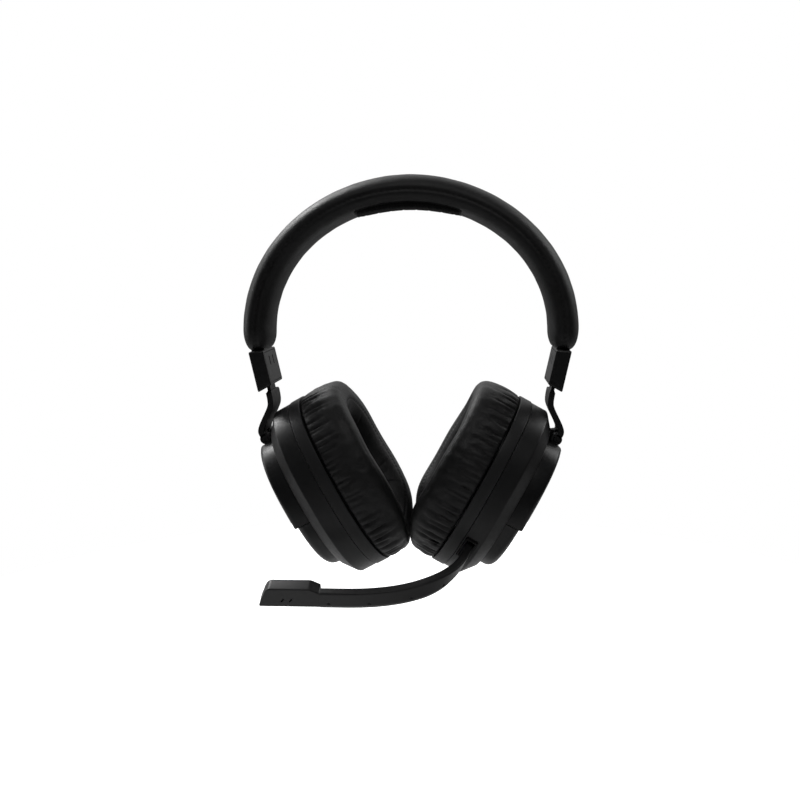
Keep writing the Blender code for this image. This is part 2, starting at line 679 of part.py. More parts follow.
def make_arm(parent):
    """Tongue, shoulder, S-bend and fork knuckle, formed as one steel strip."""
    arm = box("arm_left", (TONGUE_INNER, -TONGUE_WIDTH / 2, -SHOULDER_DROP),
              (TONGUE_INNER + TONGUE_THICKNESS, TONGUE_WIDTH / 2, TONGUE_TOP), parent)
    points, pivot = arm_centreline()
    strip = flat_outline("arm_strip", ribbon_outline(points, ARM_THICKNESS / 2), ARM_DEPTH / 2,
                         parent, turn=XZ_PLANE)
    trim = box("arm_strip_trim", (-0.02, -0.02, -SHOULDER_DROP + 0.001), (0.02, 0.02, 0.01), parent)
    boolean(strip, as_cutter(trim))
    boolean(arm, as_cutter(strip), "UNION")
    knuckle = cylinder("arm_knuckle", KNUCKLE_RADIUS, ARM_DEPTH, (pivot.x, 0, pivot.y), (0, 1, 0), 24,
                       parent)
    boolean(arm, as_cutter(knuckle), "UNION")
    fork = cylinder("arm_fork", KNUCKLE_RADIUS + 0.0012, LUG_WIDTH + 2 * GAP, (pivot.x, 0, pivot.y),
                    (0, 1, 0), 24, parent)
    boolean(arm, as_cutter(fork))
    bore = cylinder("arm_bore", PIVOT_RADIUS + GAP, ARM_DEPTH + 0.002, (pivot.x, 0, pivot.y), (0, 1, 0),
                    16, parent)
    boolean(arm, as_cutter(bore))
    middle = TONGUE_INNER + TONGUE_THICKNESS / 2
    low, high = STOP_PIN_UP, STOP_PIN_UP + SLIDE_TRAVEL
    slot = box("stop_slot", (middle - 0.003, -STOP_PIN_RADIUS - GAP, low),
               (middle + 0.003, STOP_PIN_RADIUS + GAP, high), parent)
    for name, up in (("stop_slot_low", low), ("stop_slot_high", high)):
        end = cylinder(name, STOP_PIN_RADIUS + GAP, 0.006, (middle, 0, up), (1, 0, 0), 12, parent)
        boolean(slot, as_cutter(end), "UNION")
    boolean(arm, as_cutter(slot))
    return paint(arm, material("arm_steel"))


def end_pocket(sleeve, name, inner, outer, width, top, holder, sign):
    """A box cut up into the sleeve's end from the slider, with a gap all round."""
    sides = sorted((sign * (inner - GAP), sign * (outer + GAP)))
    pocket = box(name, (sides[0], -width / 2 - GAP, 0), (sides[1], width / 2 + GAP, top + GAP), holder)
    boolean(sleeve, as_cutter(pocket))


def make_end_pockets(sleeve, holder, word, sign):
    """Room in the sleeve's end for the slider's neck and for the top of the tongue."""
    end_pocket(sleeve, f"neck_pocket_{word}", NECK_INNER, NECK_OUTER, NECK_DEPTH, NECK_TOP, holder, sign)
    end_pocket(sleeve, f"tongue_pocket_{word}", TONGUE_INNER, TONGUE_INNER + TONGUE_THICKNESS, TONGUE_WIDTH,
               TONGUE_TOP, holder, sign)


# ---------------------------------------------------------------- ear cup shells
def cup_shell(name, rings, wall, parent, edge=0.0):
    """An open skin lofted over the cup's ovals, closed at its last ring and thickened inwards."""
    shell = loft(name, rings, parent, CUP_OFFSET, caps=(False, True))
    solidify(shell, wall)
    if edge:
        bevel(shell, edge, 1, 70)
    return settle(shell)


def rounded_rim(half_height, half_depth, base_out, top_out, radius, steps=3):
    """Rings of a straight wall that rounds over into a flat end."""
    rings = [oval(half_height, half_depth, base_out)]
    for i in range(steps + 1):
        a = math.pi / 2 * i / steps
        inset = radius * (1 - math.cos(a))
        out = top_out - radius * (1 - math.sin(a))
        rings.append(oval(half_height - inset, half_depth - inset, out))
    return rings


def lug_outline():
    """Side outline of the lug: a neck on the housing's floor, round about the tilt axis."""
    radius = KNUCKLE_RADIUS - 0.0001
    points = [(FLOOR_OUT - 0.0008, PIVOT_UP - radius)]
    for i in range(13):
        a = -math.pi / 2 + math.pi * i / 12
        points.append((PIVOT_OUT + radius * math.cos(a), PIVOT_UP + radius * math.sin(a)))
    points.append((FLOOR_OUT - 0.0008, PIVOT_UP + radius * 0.8))
    return points


def make_housing(parent):
    """Main cup moulding: wall, wide bevel, flat floor and the lug that the arm's fork holds."""
    rings = [
        cup_ring(0.0, RIM_DEPTH + GAP),
        cup_ring(0.0, WALL_OUT),
        oval(CUP_HALF_HEIGHT - BEVEL_DROP_UP, CUP_HALF_DEPTH - BEVEL_DROP_SIDE, FLOOR_OUT),
    ]
    housing = cup_shell("housing_left", rings, HOUSING_WALL, parent, EDGE)
    lug = flat_outline("tilt_lug", lug_outline(), LUG_WIDTH / 2 - GAP, parent, CUP_OFFSET, XZ_PLANE)
    boolean(housing, as_cutter(lug), "UNION")
    bore = cylinder("tilt_bore", PIVOT_RADIUS + GAP, LUG_WIDTH + 0.004, (PIVOT_OUT, 0, PIVOT_UP),
                    (0, 1, 0), 16, parent, CUP_OFFSET)
    boolean(housing, as_cutter(bore))
    return paint(settle(housing), material("cup_plastic"))


def make_pivot_pin(parent):
    pin = cylinder("hinge_pin_left", PIVOT_RADIUS, ARM_DEPTH - 0.001, (0, 0, 0), (0, 1, 0), 16, parent)
    return paint(pin, material("pin_steel"))


def make_outer_plate(parent):
    """Flat outer plate with side returns, notched at the top for the arm's knuckle."""
    rings = rounded_rim(PLATE_HALF_HEIGHT, PLATE_HALF_DEPTH, FLOOR_OUT + GAP, PLATE_OUT, PLATE_ROUND)
    plate = cup_shell("outer_plate_left", rings, PLATE_WALL, parent)
    below = box("plate_trim", (0, -0.06, -0.06), (0.05, 0.06, PLATE_SPLIT), parent, CUP_OFFSET)
    boolean(plate, as_cutter(below))
    notch_low = PIVOT_UP - KNUCKLE_RADIUS - 2 * GAP
    lip = box("notch_lip", (FLOOR_OUT + GAP, -PIN_ROOM - PLATE_WALL, notch_low - PLATE_WALL),
              (PLATE_OUT - PLATE_WALL / 2, PIN_ROOM + PLATE_WALL, notch_low + PLATE_WALL / 2), parent,
              CUP_OFFSET)
    boolean(plate, as_cutter(lip), "UNION")
    notch = box("knuckle_notch", (0, -PIN_ROOM, notch_low), (0.05, PIN_ROOM, 0.06), parent, CUP_OFFSET)
    boolean(plate, as_cutter(notch))
    return paint(plate, material("plate_plastic"))


def make_lower_cover(parent):
    rings = rounded_rim(PLATE_HALF_HEIGHT, PLATE_HALF_DEPTH, FLOOR_OUT + GAP, LOWER_COVER_OUT,
                        LOWER_COVER_ROUND, 4)
    cover = cup_shell("lower_cover_left", rings, PLATE_WALL, parent)
    above = box("cover_trim", (0, -0.06, PLATE_SPLIT - GAP), (0.05, 0.06, 0.06), parent, CUP_OFFSET)
    boolean(cover, as_cutter(above))
    return paint(cover, material("cup_plastic"))


def round_holes(name, places, radius, length, out, parent, segments=8):
    """One cutting shape made of many rods along the ear axis."""
    bm = bmesh.new()
    turn = Matrix.Rotation(math.radians(90), 4, "Y")
    for y, z in places:
        place = Matrix.Translation((out, y, z)) @ turn
        bmesh.ops.create_cone(bm, cap_ends=True, segments=segments, radius1=radius, radius2=radius,
                              depth=length, matrix=place)
    return as_cutter(add_object(name, mesh_from(bm, name), parent, CUP_OFFSET))


def make_baffle(parent):
    """Rim ring and baffle in one, with the driver's opening, its seat and six vents."""
    rings = [cup_ring(-RIM_OVERHANG, RIM_DEPTH), cup_ring(-RIM_OVERHANG, GAP)]
    baffle = cup_shell("baffle_left", rings, BAFFLE_WALL, parent, EDGE)
    seat = cylinder("driver_seat", DRIVER_RADIUS + GAP + 0.0014, 0.0034, (GAP + 0.0030, 0, 0), (1, 0, 0),
                    24, parent, CUP_OFFSET)
    boolean(baffle, as_cutter(seat), "UNION")
    room = cylinder("driver_room", DRIVER_RADIUS + GAP, 0.01, (GAP + BAFFLE_WALL + 0.005, 0, 0), (1, 0, 0),
                    24, parent, CUP_OFFSET)
    boolean(baffle, as_cutter(room))
    hole = cylinder("driver_hole", DRIVER_HOLE_RADIUS, 0.02, (0, 0, 0), (1, 0, 0), 24, parent, CUP_OFFSET)
    boolean(baffle, as_cutter(hole))
    vents = [(0.0085 * math.cos(a), side * 0.0262 + 0.0018 * math.sin(a)) for side in (-1, 1)
             for a in (0.0, math.pi / 2, math.pi)]
    boolean(baffle, round_holes("baffle_vents", vents, 0.0014, 0.02, 0.0, parent))
    return paint(baffle, material("rim_plastic"))


def make_driver(parent):
    """Loudspeaker driver: diaphragm, basket flange, tapered basket and magnet pot."""
    front = GAP + 0.0006
    flange = GAP + BAFFLE_WALL + GAP
    reach = DRIVER_HOLE_RADIUS - 2 * GAP
    profile = [
        (0.0025, front), (0.0085, front + 0.0009), (0.0098, front + 0.0016), (0.0150, front),
        (reach, front + 0.0010), (reach, flange), (DRIVER_RADIUS, flange), (DRIVER_RADIUS, flange + 0.0015),
        (0.0180, flange + 0.0030), (0.0132, flange + 0.0062), (0.0125, flange + 0.0066),
        (0.0125, flange + 0.0108),
    ]
    driver = turned("driver_left", profile, 20, parent, CUP_OFFSET)
    return paint(driver, material("driver_metal"))


def make_grille(parent):
    """Perforated plate that covers the driver, with holes on a hexagonal pattern."""
    inset = 4 * GAP
    ring = oval(EAR_HALF_HEIGHT - inset, EAR_HALF_DEPTH - inset, 0.0, 32)
    points = [(p.y, p.z) for p in ring]
    grille = flat_outline("speaker_grille_left", points, GRILLE_THICKNESS / 2, parent, CUP_OFFSET,
                          Matrix.Translation((-GRILLE_THICKNESS / 2, 0, 0)) @ FACE_PLANE)
    grille = settle(grille)
    places = []
    for row in range(-2, 3):
        count = 5 - abs(row)
        for i in range(count):
            y = (i - (count - 1) / 2) * GRILLE_PITCH
            places.append((y, row * GRILLE_PITCH * math.sqrt(0.75)))
    boolean(grille, round_holes("grille_holes", places, GRILLE_HOLE_RADIUS, 0.01, 0.0, parent, 8))
    return paint(grille, material("grille_steel"))


# ---------------------------------------------------------------- ear cushion
def oval_place(angle, inset, out):
    y = (CUP_HALF_DEPTH - inset) * signed_power(math.cos(angle), 2 / CUP_SQUARENESS)
    z = (CUP_HALF_HEIGHT - inset) * signed_power(math.sin(angle), 2 / CUP_SQUARENESS)
    return Vector((out, y, z))


def ring_around_cup(name, section, steps, parent):
    """A closed ring; section(angle) gives its (inset, out) points at each angle round the oval."""
    rings = []
    for i in range(steps):
        angle = 2 * math.pi * i / steps
        rings.append([oval_place(angle, inset, out) for inset, out in section(angle)])
    return loft(name, rings, parent, CUP_OFFSET, closed=True)


def cushion_section(angle, points=14):
    """Flat back and round front, thicker towards the top of the cup, where the cups stand apart."""
    up = oval_place(angle, 0.0, 0.0).z
    thickness = CUSHION_THICKNESS * (1 + CUSHION_WEDGE * up)
    base = CUSHION_FRAME_THICKNESS + GAP
    half = (thickness - base) / 2
    section = []
    for i in range(points):
        a = 2 * math.pi * i / points
        power = 2 / (CUSHION_BACK_SQUARENESS if math.sin(a) > 0 else CUSHION_SQUARENESS)
        forward = signed_power(-math.sin(a), power)
        inset = CUSHION_WIDTH / 2 * (1 - signed_power(math.cos(a), power))
        inset += CUSHION_LEAN * (1 + forward) / 2 - CUSHION_BULGE
        section.append((inset, -base - half * (1 + forward)))
    return section


def frame_section(angle):
    low, high = CUSHION_FRAME_SET_IN, CUSHION_WIDTH - 0.0012
    top, bottom = 0.0, -CUSHION_FRAME_THICKNESS
    return [(low, bottom), (high, bottom), (high, top), (low, top)]


def make_cushion(parent):
    cushion = ring_around_cup("ear_cushion_left", cushion_section, CUSHION_STEPS, parent)
    return paint(cushion, material("leatherette"))


def make_cushion_frame(parent):
    """Stiff ring in the cushion's back that clips it to the baffle."""
    frame = ring_around_cup("cushion_frame_left", frame_section, 32, parent)
    return paint(frame, material("rim_plastic"))


# ---------------------------------------------------------------- the cup wall's local frame
def wall_place(up=None, depth=None, side=1):
    """Point, outward normal and tangent on the cup's wall, in the cup's own Y and Z."""
    if up is None:
        share = 1 - (abs(depth) / CUP_HALF_DEPTH) ** CUP_SQUARENESS
        point = Vector((0, depth, side * CUP_HALF_HEIGHT * share ** (1 / CUP_SQUARENESS)))
    else:
        point = Vector((0, side * oval_depth_at(up), up))
    normal = Vector((
        0,
        signed_power(point.y / CUP_HALF_DEPTH, CUP_SQUARENESS - 1) / CUP_HALF_DEPTH,
        signed_power(point.z / CUP_HALF_HEIGHT, CUP_SQUARENESS - 1) / CUP_HALF_HEIGHT,
    )).normalized()
    tangent = Vector((1, 0, 0)).cross(normal)
    return point, normal, tangent


def wall_matrix(point, normal, tangent, out, depth=0.0):
    """Carries X across the wall (ear axis), Y along it and Z outwards to a place on the cup."""
    matrix = Matrix.Identity(4)
    matrix.col[0] = (1, 0, 0, 0)
    matrix.col[1] = (*tangent, 0)
    matrix.col[2] = (*normal, 0)
    origin = point + normal * depth
    matrix.col[3] = (out, origin.y, origin.z, 1)
    return matrix


def placed(obj, matrix):
    obj.data.transform(matrix)
    if matrix.determinant() < 0:
        obj.data.flip_normals()
    return obj


# ---------------------------------------------------------------- microphone boom
def world_to_cup(vector):
    c, s = math.cos(CUP_TOE_IN), math.sin(CUP_TOE_IN)
    return Vector((vector.x * c - vector.z * s, vector.y, vector.x * s + vector.z * c))


def boom_frame():
    point, normal, tangent = wall_place(up=BOOM_ROOT_UP, side=-1)
    hub = Vector((BOOM_OUT, point.y, point.z)) - normal * BOOM_SINK
    return hub, normal, tangent


def boom_directions():
    sideways = world_to_cup(Vector((-1, 0, 0)))
    forward = world_to_cup(Vector((0, -math.cos(BOOM_FALL), -math.sin(BOOM_FALL))))
    upright = world_to_cup(Vector((0, -math.sin(BOOM_FALL), math.cos(BOOM_FALL))))
    return sideways, forward, upright


def boom_path():
    """Out of the socket along the wall's normal, round a bend, then straight across the mouth."""
    hub, normal, _ = boom_frame()
    sideways, forward, _ = boom_directions()
    start = hub + normal * 0.0040
    bend_end = hub + sideways * BOOM_SIDEWAYS + forward * BOOM_FORWARD
    points = [hub, hub + normal * 0.0020]
    points += hermite(start, normal * 1.85 * BOOM_FORWARD, bend_end, sideways * 1.66 * BOOM_SIDEWAYS, 14)
    return points, bend_end


def boom_section(place, along, upright, width, thickness):
    """Ribbon section with a broad chamfer along its lower front edge."""
    front = upright.cross(along).normalized()
    upright = along.cross(front).normalized()
    a, b = thickness / 2, width / 2
    small, broad = 0.0006, 0.0021
    outline = [
        (a, broad - b), (a - 0.0009, -b), (small - a, -b), (-a, small - b),
        (-a, b - small), (small - a, b), (a - small, b), (a, b - small),
    ]
    return [place + front * s + upright * w for s, w in outline]


def tip_place():
    """Where the ribbon's shoulder meets the microphone housing."""
    points, bend_end = boom_path()
    sideways, _, _ = boom_directions()
    world_x = cup_world_x(bend_end)
    run = world_x - BOOM_TIP_X
    return bend_end + sideways * run


def cup_world_x(place):
    return CUP_CENTRE_X + place.x * math.cos(CUP_TOE_IN) + place.z * math.sin(CUP_TOE_IN)


def boom_rings(points):
    """Sections along the ribbon: they grow and turn upright over the root, then step to the tenon."""
    _, _, tangent = boom_frame()
    sideways, _, upright = boom_directions()
    root_up = -tangent if tangent.z < 0 else tangent
    travelled = [0.0]
    for before, after in zip(points, points[1:]):
        travelled.append(travelled[-1] + (after - before).length)
    rings = []
    for i, place in enumerate(points):
        after = points[min(i + 1, len(points) - 1)]
        before = points[max(i - 1, 0)]
        along = (after - before).normalized()
        share = min(travelled[i] / BOOM_ROOT_RUN, 1.0)
        share = share * share * (3 - 2 * share)
        stand = root_up.lerp(upright, share)
        width = BOOM_ROOT_WIDTH + (BOOM_WIDTH - BOOM_ROOT_WIDTH) * share
        thickness = BOOM_ROOT_THICKNESS + (BOOM_THICKNESS - BOOM_ROOT_THICKNESS) * share
        rings.append(boom_section(place, along, stand, width, thickness))
    tip = tip_place()
    for place in (tip - sideways * GAP * 0.9, tip + sideways * MIC_TENON):
        rings.append(boom_section(place, sideways, upright, TENON_WIDTH, TENON_THICKNESS))
    return rings


def make_boom(parent, location):
    """Flat ribbon boom with a round hub on the swing axis and a tenon for the microphone housing."""
    points, bend_end = boom_path()
    hub, _, _ = boom_frame()
    sideways, _, _ = boom_directions()
    tip = tip_place()
    points += [bend_end.lerp(tip, 0.5), tip - sideways * GAP]
    boom = loft("boom_arm", boom_rings(points), parent, location, angle=18)
    hub_disc = cylinder("boom_hub", HUB_RADIUS, BOOM_ROOT_THICKNESS, hub, (1, 0, 0), 20, parent, location)
    boolean(boom, as_cutter(hub_disc), "UNION")
    bore = cylinder("boom_bore", BOOM_PIN_RADIUS + GAP, 0.02, hub, (1, 0, 0), 12, parent, location)
    boolean(boom, as_cutter(bore))
    boolean(boom, boom_dimples(points, parent, location))
    return paint(boom, material("boom_plastic"))


def boom_dimples(points, parent, location):
    """Small round dimples in a row along the lower half of the ribbon's front."""
    _, _, upright = boom_directions()
    bm = bmesh.new()
    for world_x in DIMPLE_X:
        i = min(range(1, len(points) - 1), key=lambda k: abs(cup_world_x(points[k]) - world_x))
        before, after = points[i], points[i + 1]
        if cup_world_x(before) < world_x:
            before, after = points[i - 1], points[i]
        span = cup_world_x(before) - cup_world_x(after)
        share = (cup_world_x(before) - world_x) / span
        front = upright.cross(after - before).normalized()
        place = before.lerp(after, share) + front * BOOM_THICKNESS / 2 - upright * DIMPLE_DROP
        turn = Vector((0, 0, 1)).rotation_difference(front).to_matrix().to_4x4()
        bmesh.ops.create_cone(bm, cap_ends=True, segments=8, radius1=DIMPLE_RADIUS, radius2=DIMPLE_RADIUS,
                              depth=2 * DIMPLE_DEPTH, matrix=Matrix.Translation(place) @ turn)
    return as_cutter(add_object("boom_dimples", mesh_from(bm, "boom_dimples"), parent, location))


def mic_matrix():
    """Carries X towards the tip, Y up and Z to the wearer, from the ribbon's shoulder."""
    sideways, forward, upright = boom_directions()
    matrix = Matrix.Identity(4)
    matrix.col[0] = (*sideways, 0)
    matrix.col[1] = (*upright, 0)
    matrix.col[2] = (*(sideways.cross(upright)), 0)
    matrix.col[3] = (*tip_place(), 1)
    return matrix


def mic_outline():
    """Side outline: a level lower edge, a slope up from the ribbon and a tip that leans back."""
    low = MIC_RISE - BOOM_WIDTH / 2
    high = low + MIC_HEIGHT
    return [
        (0, low), (MIC_LENGTH, low), (MIC_LENGTH - MIC_LEAN * 0.08, low + MIC_HEIGHT * 0.16),
        (MIC_LENGTH - MIC_LEAN * 0.45, low + MIC_HEIGHT * 0.62),
        (MIC_LENGTH - MIC_LEAN * 0.70, low + MIC_HEIGHT * 0.88), (MIC_LENGTH - MIC_LEAN, high),
        (MIC_SHOULDER, high), (MIC_SHOULDER * 0.1, BOOM_WIDTH / 2), (0, BOOM_WIDTH / 2),
    ]


def cut_sound_slots(housing, matrix, parent, location):
    """Two short slanted slots side by side, through to the pocket."""
    for i, offset in enumerate((-SOUND_SLOT_SIDE, SOUND_SLOT_SIDE)):
        slot = box(f"mic_slot_{i + 1}", (-0.0004, -0.0013, MIC_FACE - 0.001),
                   (0.0004, 0.0013, MIC_POCKET_FLOOR + 0.001), parent, location)
        lean = Matrix.Translation((MIC_ELEMENT_PLACE[0] + offset, MIC_ELEMENT_PLACE[1], 0))
        slot.data.transform(lean @ Matrix.Rotation(SOUND_SLOT_LEAN, 4, "Z"))
        boolean(housing, as_cutter(placed(slot, matrix)))


def make_mic_housing(parent, location):
    """Microphone housing: leaning tip, raised back edge, two sound slots and a pocket behind them."""
    matrix = mic_matrix()
    housing = flat_outline("mic_housing", mic_outline(), MIC_THICKNESS / 2, parent, location,
                           Matrix.Translation((0, 0, (MIC_BACK + MIC_FACE) / 2)))
    bevel(housing, 0.0006, 2)
    settle(housing)
    mortise = box("mic_mortise", (-0.001, -TENON_WIDTH / 2 - GAP, -TENON_THICKNESS / 2 - GAP),
                  (MIC_TENON + GAP, TENON_WIDTH / 2 + GAP, TENON_THICKNESS / 2 + GAP), parent, location)
    recess = box("mic_cover_recess",
                 (MIC_COVER_LOW[0] - GAP, MIC_COVER_LOW[1] - GAP, MIC_BACK - MIC_COVER_THICKNESS - GAP),
                 (MIC_COVER_HIGH[0] + GAP, MIC_COVER_HIGH[1] + GAP, MIC_BACK + 0.002), parent, location)
    pocket = cylinder("mic_pocket", MIC_ELEMENT_RADIUS + GAP, 0.008,
                      (*MIC_ELEMENT_PLACE, MIC_POCKET_FLOOR + 0.004), (0, 0, 1), 16, parent, location)
    for cutter in (mortise, recess, pocket):
        placed(cutter, matrix)
        boolean(housing, as_cutter(cutter))
    cut_sound_slots(housing, matrix, parent, location)
    housing.data.transform(matrix)
    return paint(housing, material("boom_plastic"))


def make_mic_element(parent, location):
    matrix = mic_matrix()
    low = MIC_POCKET_FLOOR + GAP
    element = cylinder("mic_element", MIC_ELEMENT_RADIUS, MIC_ELEMENT_DEPTH,
                       (*MIC_ELEMENT_PLACE, low + MIC_ELEMENT_DEPTH / 2), (0, 0, 1), 16, parent, location)
    return paint(placed(element, matrix), material("pin_steel"))


def make_mic_cover(parent, location):
    matrix = mic_matrix()
    cover = box("mic_cover", (*MIC_COVER_LOW, MIC_BACK - MIC_COVER_THICKNESS), (*MIC_COVER_HIGH, MIC_BACK),
                parent, location)
    return paint(placed(cover, matrix), material("boom_plastic"))


def socket_sense(tangent):
    """+1 where the wall's tangent runs up the cup, -1 where it runs down."""
    return 1 if tangent.z > 0 else -1


def make_boom_socket(parent, housing):
    """Lined pocket in the housing's wall whose cheeks carry the boom's pin."""
    point, normal, tangent = wall_place(up=BOOM_ROOT_UP, side=-1)
    matrix = wall_matrix(point, normal, tangent, BOOM_OUT)
    sense = socket_sense(tangent)
    half = BOOM_ROOT_THICKNESS / 2 + GAP
    ends = sorted((sense * SOCKET_UP_REACH, -sense * SOCKET_DOWN_REACH))
    socket = box("boom_socket", (-half - SOCKET_WALL, ends[0] - SOCKET_WALL, -SOCKET_DEPTH),
                 (half + SOCKET_WALL, ends[1] + SOCKET_WALL, SOCKET_PROUD), parent, CUP_OFFSET)
    placed(socket, matrix)
    room = box("boom_room", (-half, ends[0], -SOCKET_DEPTH + SOCKET_WALL), (half, ends[1], 0.01),
               parent, CUP_OFFSET)
    boolean(socket, as_cutter(placed(room, matrix)))
    hub, _, _ = boom_frame()
    bore = cylinder("boom_pin_bore", BOOM_PIN_RADIUS + GAP, 0.03, hub, (1, 0, 0), 12, parent, CUP_OFFSET)
    boolean(socket, as_cutter(bore))
    hole = box("boom_socket_hole",
               (-half - SOCKET_WALL - GAP, ends[0] - SOCKET_WALL - GAP, -SOCKET_DEPTH - 0.001),
               (half + SOCKET_WALL + GAP, ends[1] + SOCKET_WALL + GAP, 0.01), parent, CUP_OFFSET)
    boolean(housing, as_cutter(placed(hole, matrix)))
    return paint(socket, material("rim_plastic"))


def make_boom_pin(parent, location):
    hub, _, _ = boom_frame()
    length = BOOM_ROOT_THICKNESS + 2 * GAP + 2 * SOCKET_WALL
    pin = cylinder("boom_pin", BOOM_PIN_RADIUS, length, hub, (1, 0, 0), 12, parent, location)
    return paint(pin, material("pin_steel"))


# ---------------------------------------------------------------- controls on the microphone cup
def wheel_centre():
    point, normal, _ = wall_place(up=WHEEL_UP, side=1)
    return Vector((CONTROL_OUT, 0, 0)) + point + normal * (WHEEL_PROUD - WHEEL_RADIUS)


def make_volume_wheel(parent, location, housing):
    """Knurled thumb wheel standing a little out of a slot in the wall."""
    centre = wheel_centre()
    rings = []
    half = WHEEL_THICKNESS / 2
    for out, shrink in ((-half, 0.0004), (-half + 0.0004, 0.0), (half - 0.0004, 0.0), (half, 0.0004)):
        ring = []
        for i in range(WHEEL_TEETH * 2):
            a = math.pi * i / WHEEL_TEETH
            radius = WHEEL_RADIUS - shrink - (0.0004 if i % 2 else 0.0)
            ring.append(centre + Vector((out, radius * math.cos(a), radius * math.sin(a))))
        rings.append(ring)
    wheel = loft("volume_wheel", rings, parent, location, angle=20)
    bore = cylinder("wheel_bore", ENCODER_SHAFT_RADIUS + GAP, 0.02, centre, (1, 0, 0), 14, parent, location)
    boolean(wheel, as_cutter(bore))
    slot = cylinder("wheel_slot", WHEEL_RADIUS + 2 * GAP, WHEEL_THICKNESS + 4 * GAP, centre, (1, 0, 0), 32,
                    parent.parent, CUP_OFFSET)
    boolean(housing, as_cutter(slot))
    return paint(wheel, material("wheel_rubber"))


def make_encoder(parent):
    """Rotary encoder on the board; its shaft carries the volume wheel."""
    centre = wheel_centre()
    back = BOARD_OUT - GAP
    front = CONTROL_OUT + WHEEL_THICKNESS / 2 + 2 * GAP
    body = box("volume_encoder", (front, centre.y - 0.0045, centre.z - 0.0045),
               (back, centre.y + 0.0012, centre.z + 0.0045), parent, CUP_OFFSET)
    shaft_end = CONTROL_OUT - WHEEL_THICKNESS / 2
    length = front + 0.001 - shaft_end
    shaft = cylinder("encoder_shaft", ENCODER_SHAFT_RADIUS, length,
                     (shaft_end + length / 2, centre.y, centre.z), (1, 0, 0), 14, parent, CUP_OFFSET)
    boolean(body, as_cutter(shaft), "UNION")
    return paint(body, material("component_black"))


def make_board(parent):
    ring = oval(BOARD_HALF_HEIGHT, BOARD_HALF_DEPTH, 0.0, 24)
    points = [(p.y, p.z) for p in ring]
    board = flat_outline("circuit_board", points, BOARD_THICKNESS / 2, parent, CUP_OFFSET,
                         Matrix.Translation((BOARD_OUT + BOARD_THICKNESS / 2, 0, 0)) @ FACE_PLANE)
    return paint(board, material("board_green"))


def button_matrix(up):
    point, normal, tangent = wall_place(up=up, side=1)
    return wall_matrix(point, normal, tangent, CONTROL_OUT), point, normal


def make_button(name, up, parent, location, housing):
    """Oblong key in the wall, kept in by a lip on its inner end."""
    matrix, _, _ = button_matrix(up)
    half_t, half_n = BUTTON_LENGTH / 2, BUTTON_HEIGHT / 2
    foot = BUTTON_LIP_THICKNESS - BUTTON_FOOT - BUTTON_SINK
    key = box(name, (-half_n, -half_t, foot), (half_n, half_t, BUTTON_PROUD), parent, location)
    bevel(key, 0.0004, 2)
    settle(key)
    lip = box(name + "_lip", (-half_n - BUTTON_LIP, -half_t - BUTTON_LIP, -BUTTON_FOOT),
              (half_n + BUTTON_LIP, half_t + BUTTON_LIP, BUTTON_LIP_THICKNESS - BUTTON_FOOT), parent,
              location)
    boolean(placed(key, matrix), as_cutter(placed(lip, matrix)), "UNION")
    hole = box(name + "_hole", (-half_n - GAP, -half_t - GAP, -0.006), (half_n + GAP, half_t + GAP, 0.006),
               parent.parent, CUP_OFFSET)
    boolean(housing, as_cutter(placed(hole, matrix)))
    return paint(key, material("key_plastic"))


def make_switch(name, up, parent):
    """Side-acting switch that stands on the board behind a key."""
    matrix, _, _ = button_matrix(up)
    top = -BUTTON_FOOT - BUTTON_TRAVEL - GAP
    switch = box(name, (-SWITCH_HALF, -SWITCH_HALF, top - SWITCH_HEIGHT), (SWITCH_HALF, SWITCH_HALF, top),
                 parent, CUP_OFFSET)
    foot = box(name + "_foot", (0, -SWITCH_HALF, top - SWITCH_HEIGHT),
               (BOARD_OUT - GAP - CONTROL_OUT, SWITCH_HALF, top - SWITCH_STEP), parent, CUP_OFFSET)
    boolean(placed(switch, matrix), as_cutter(placed(foot, matrix)), "UNION")
    return paint(switch, material("component_black"))


def make_usb_port(parent, housing):
    """Charging port: an oblong metal shell with a thin contact tongue inside."""
    point, normal, tangent = wall_place(depth=PORT_DEPTH, side=-1)
    matrix = wall_matrix(point, normal, tangent, CONTROL_OUT)
    w, h = PORT_HALF_WIDTH, PORT_HALF_HEIGHT
    port = box("usb_port", (-h, -w, -PORT_LENGTH), (h, w, -0.0002), parent, CUP_OFFSET)
    bevel(port, 0.0012, 2)
    settle(port)
    room = box("usb_room", (-h + 0.0004, -w + 0.0005, -PORT_LENGTH + 0.001), (h - 0.0004, w - 0.0005, 0.002),
               parent, CUP_OFFSET)
    tongue = box("usb_tongue", (-0.0004, -w + 0.0016, -PORT_LENGTH + 0.0005),
                 (0.0004, w - 0.0016, -0.0014), parent, CUP_OFFSET)
    boolean(placed(port, matrix), as_cutter(placed(room, matrix)))
    boolean(port, as_cutter(placed(tongue, matrix)), "UNION")
    hole = box("usb_hole", (-h - GAP, -w - GAP, -0.01), (h + GAP, w + GAP, 0.01), parent, CUP_OFFSET)
    boolean(housing, as_cutter(placed(hole, matrix)))
    return paint(port, material("port_steel"))


def make_status_light(parent, housing):
    point, normal, tangent = wall_place(depth=LIGHT_DEPTH, side=-1)
    place = Vector((CONTROL_OUT, 0, 0)) + point - normal * 0.0012
    light = cylinder("status_light", LIGHT_RADIUS, 0.0026, place, normal, 12, parent, CUP_OFFSET)
    hole = cylinder("status_light_hole", LIGHT_RADIUS + GAP, 0.02, place, normal, 12, parent, CUP_OFFSET)
    boolean(housing, as_cutter(hole))
    return paint(light, material("light_lens"))


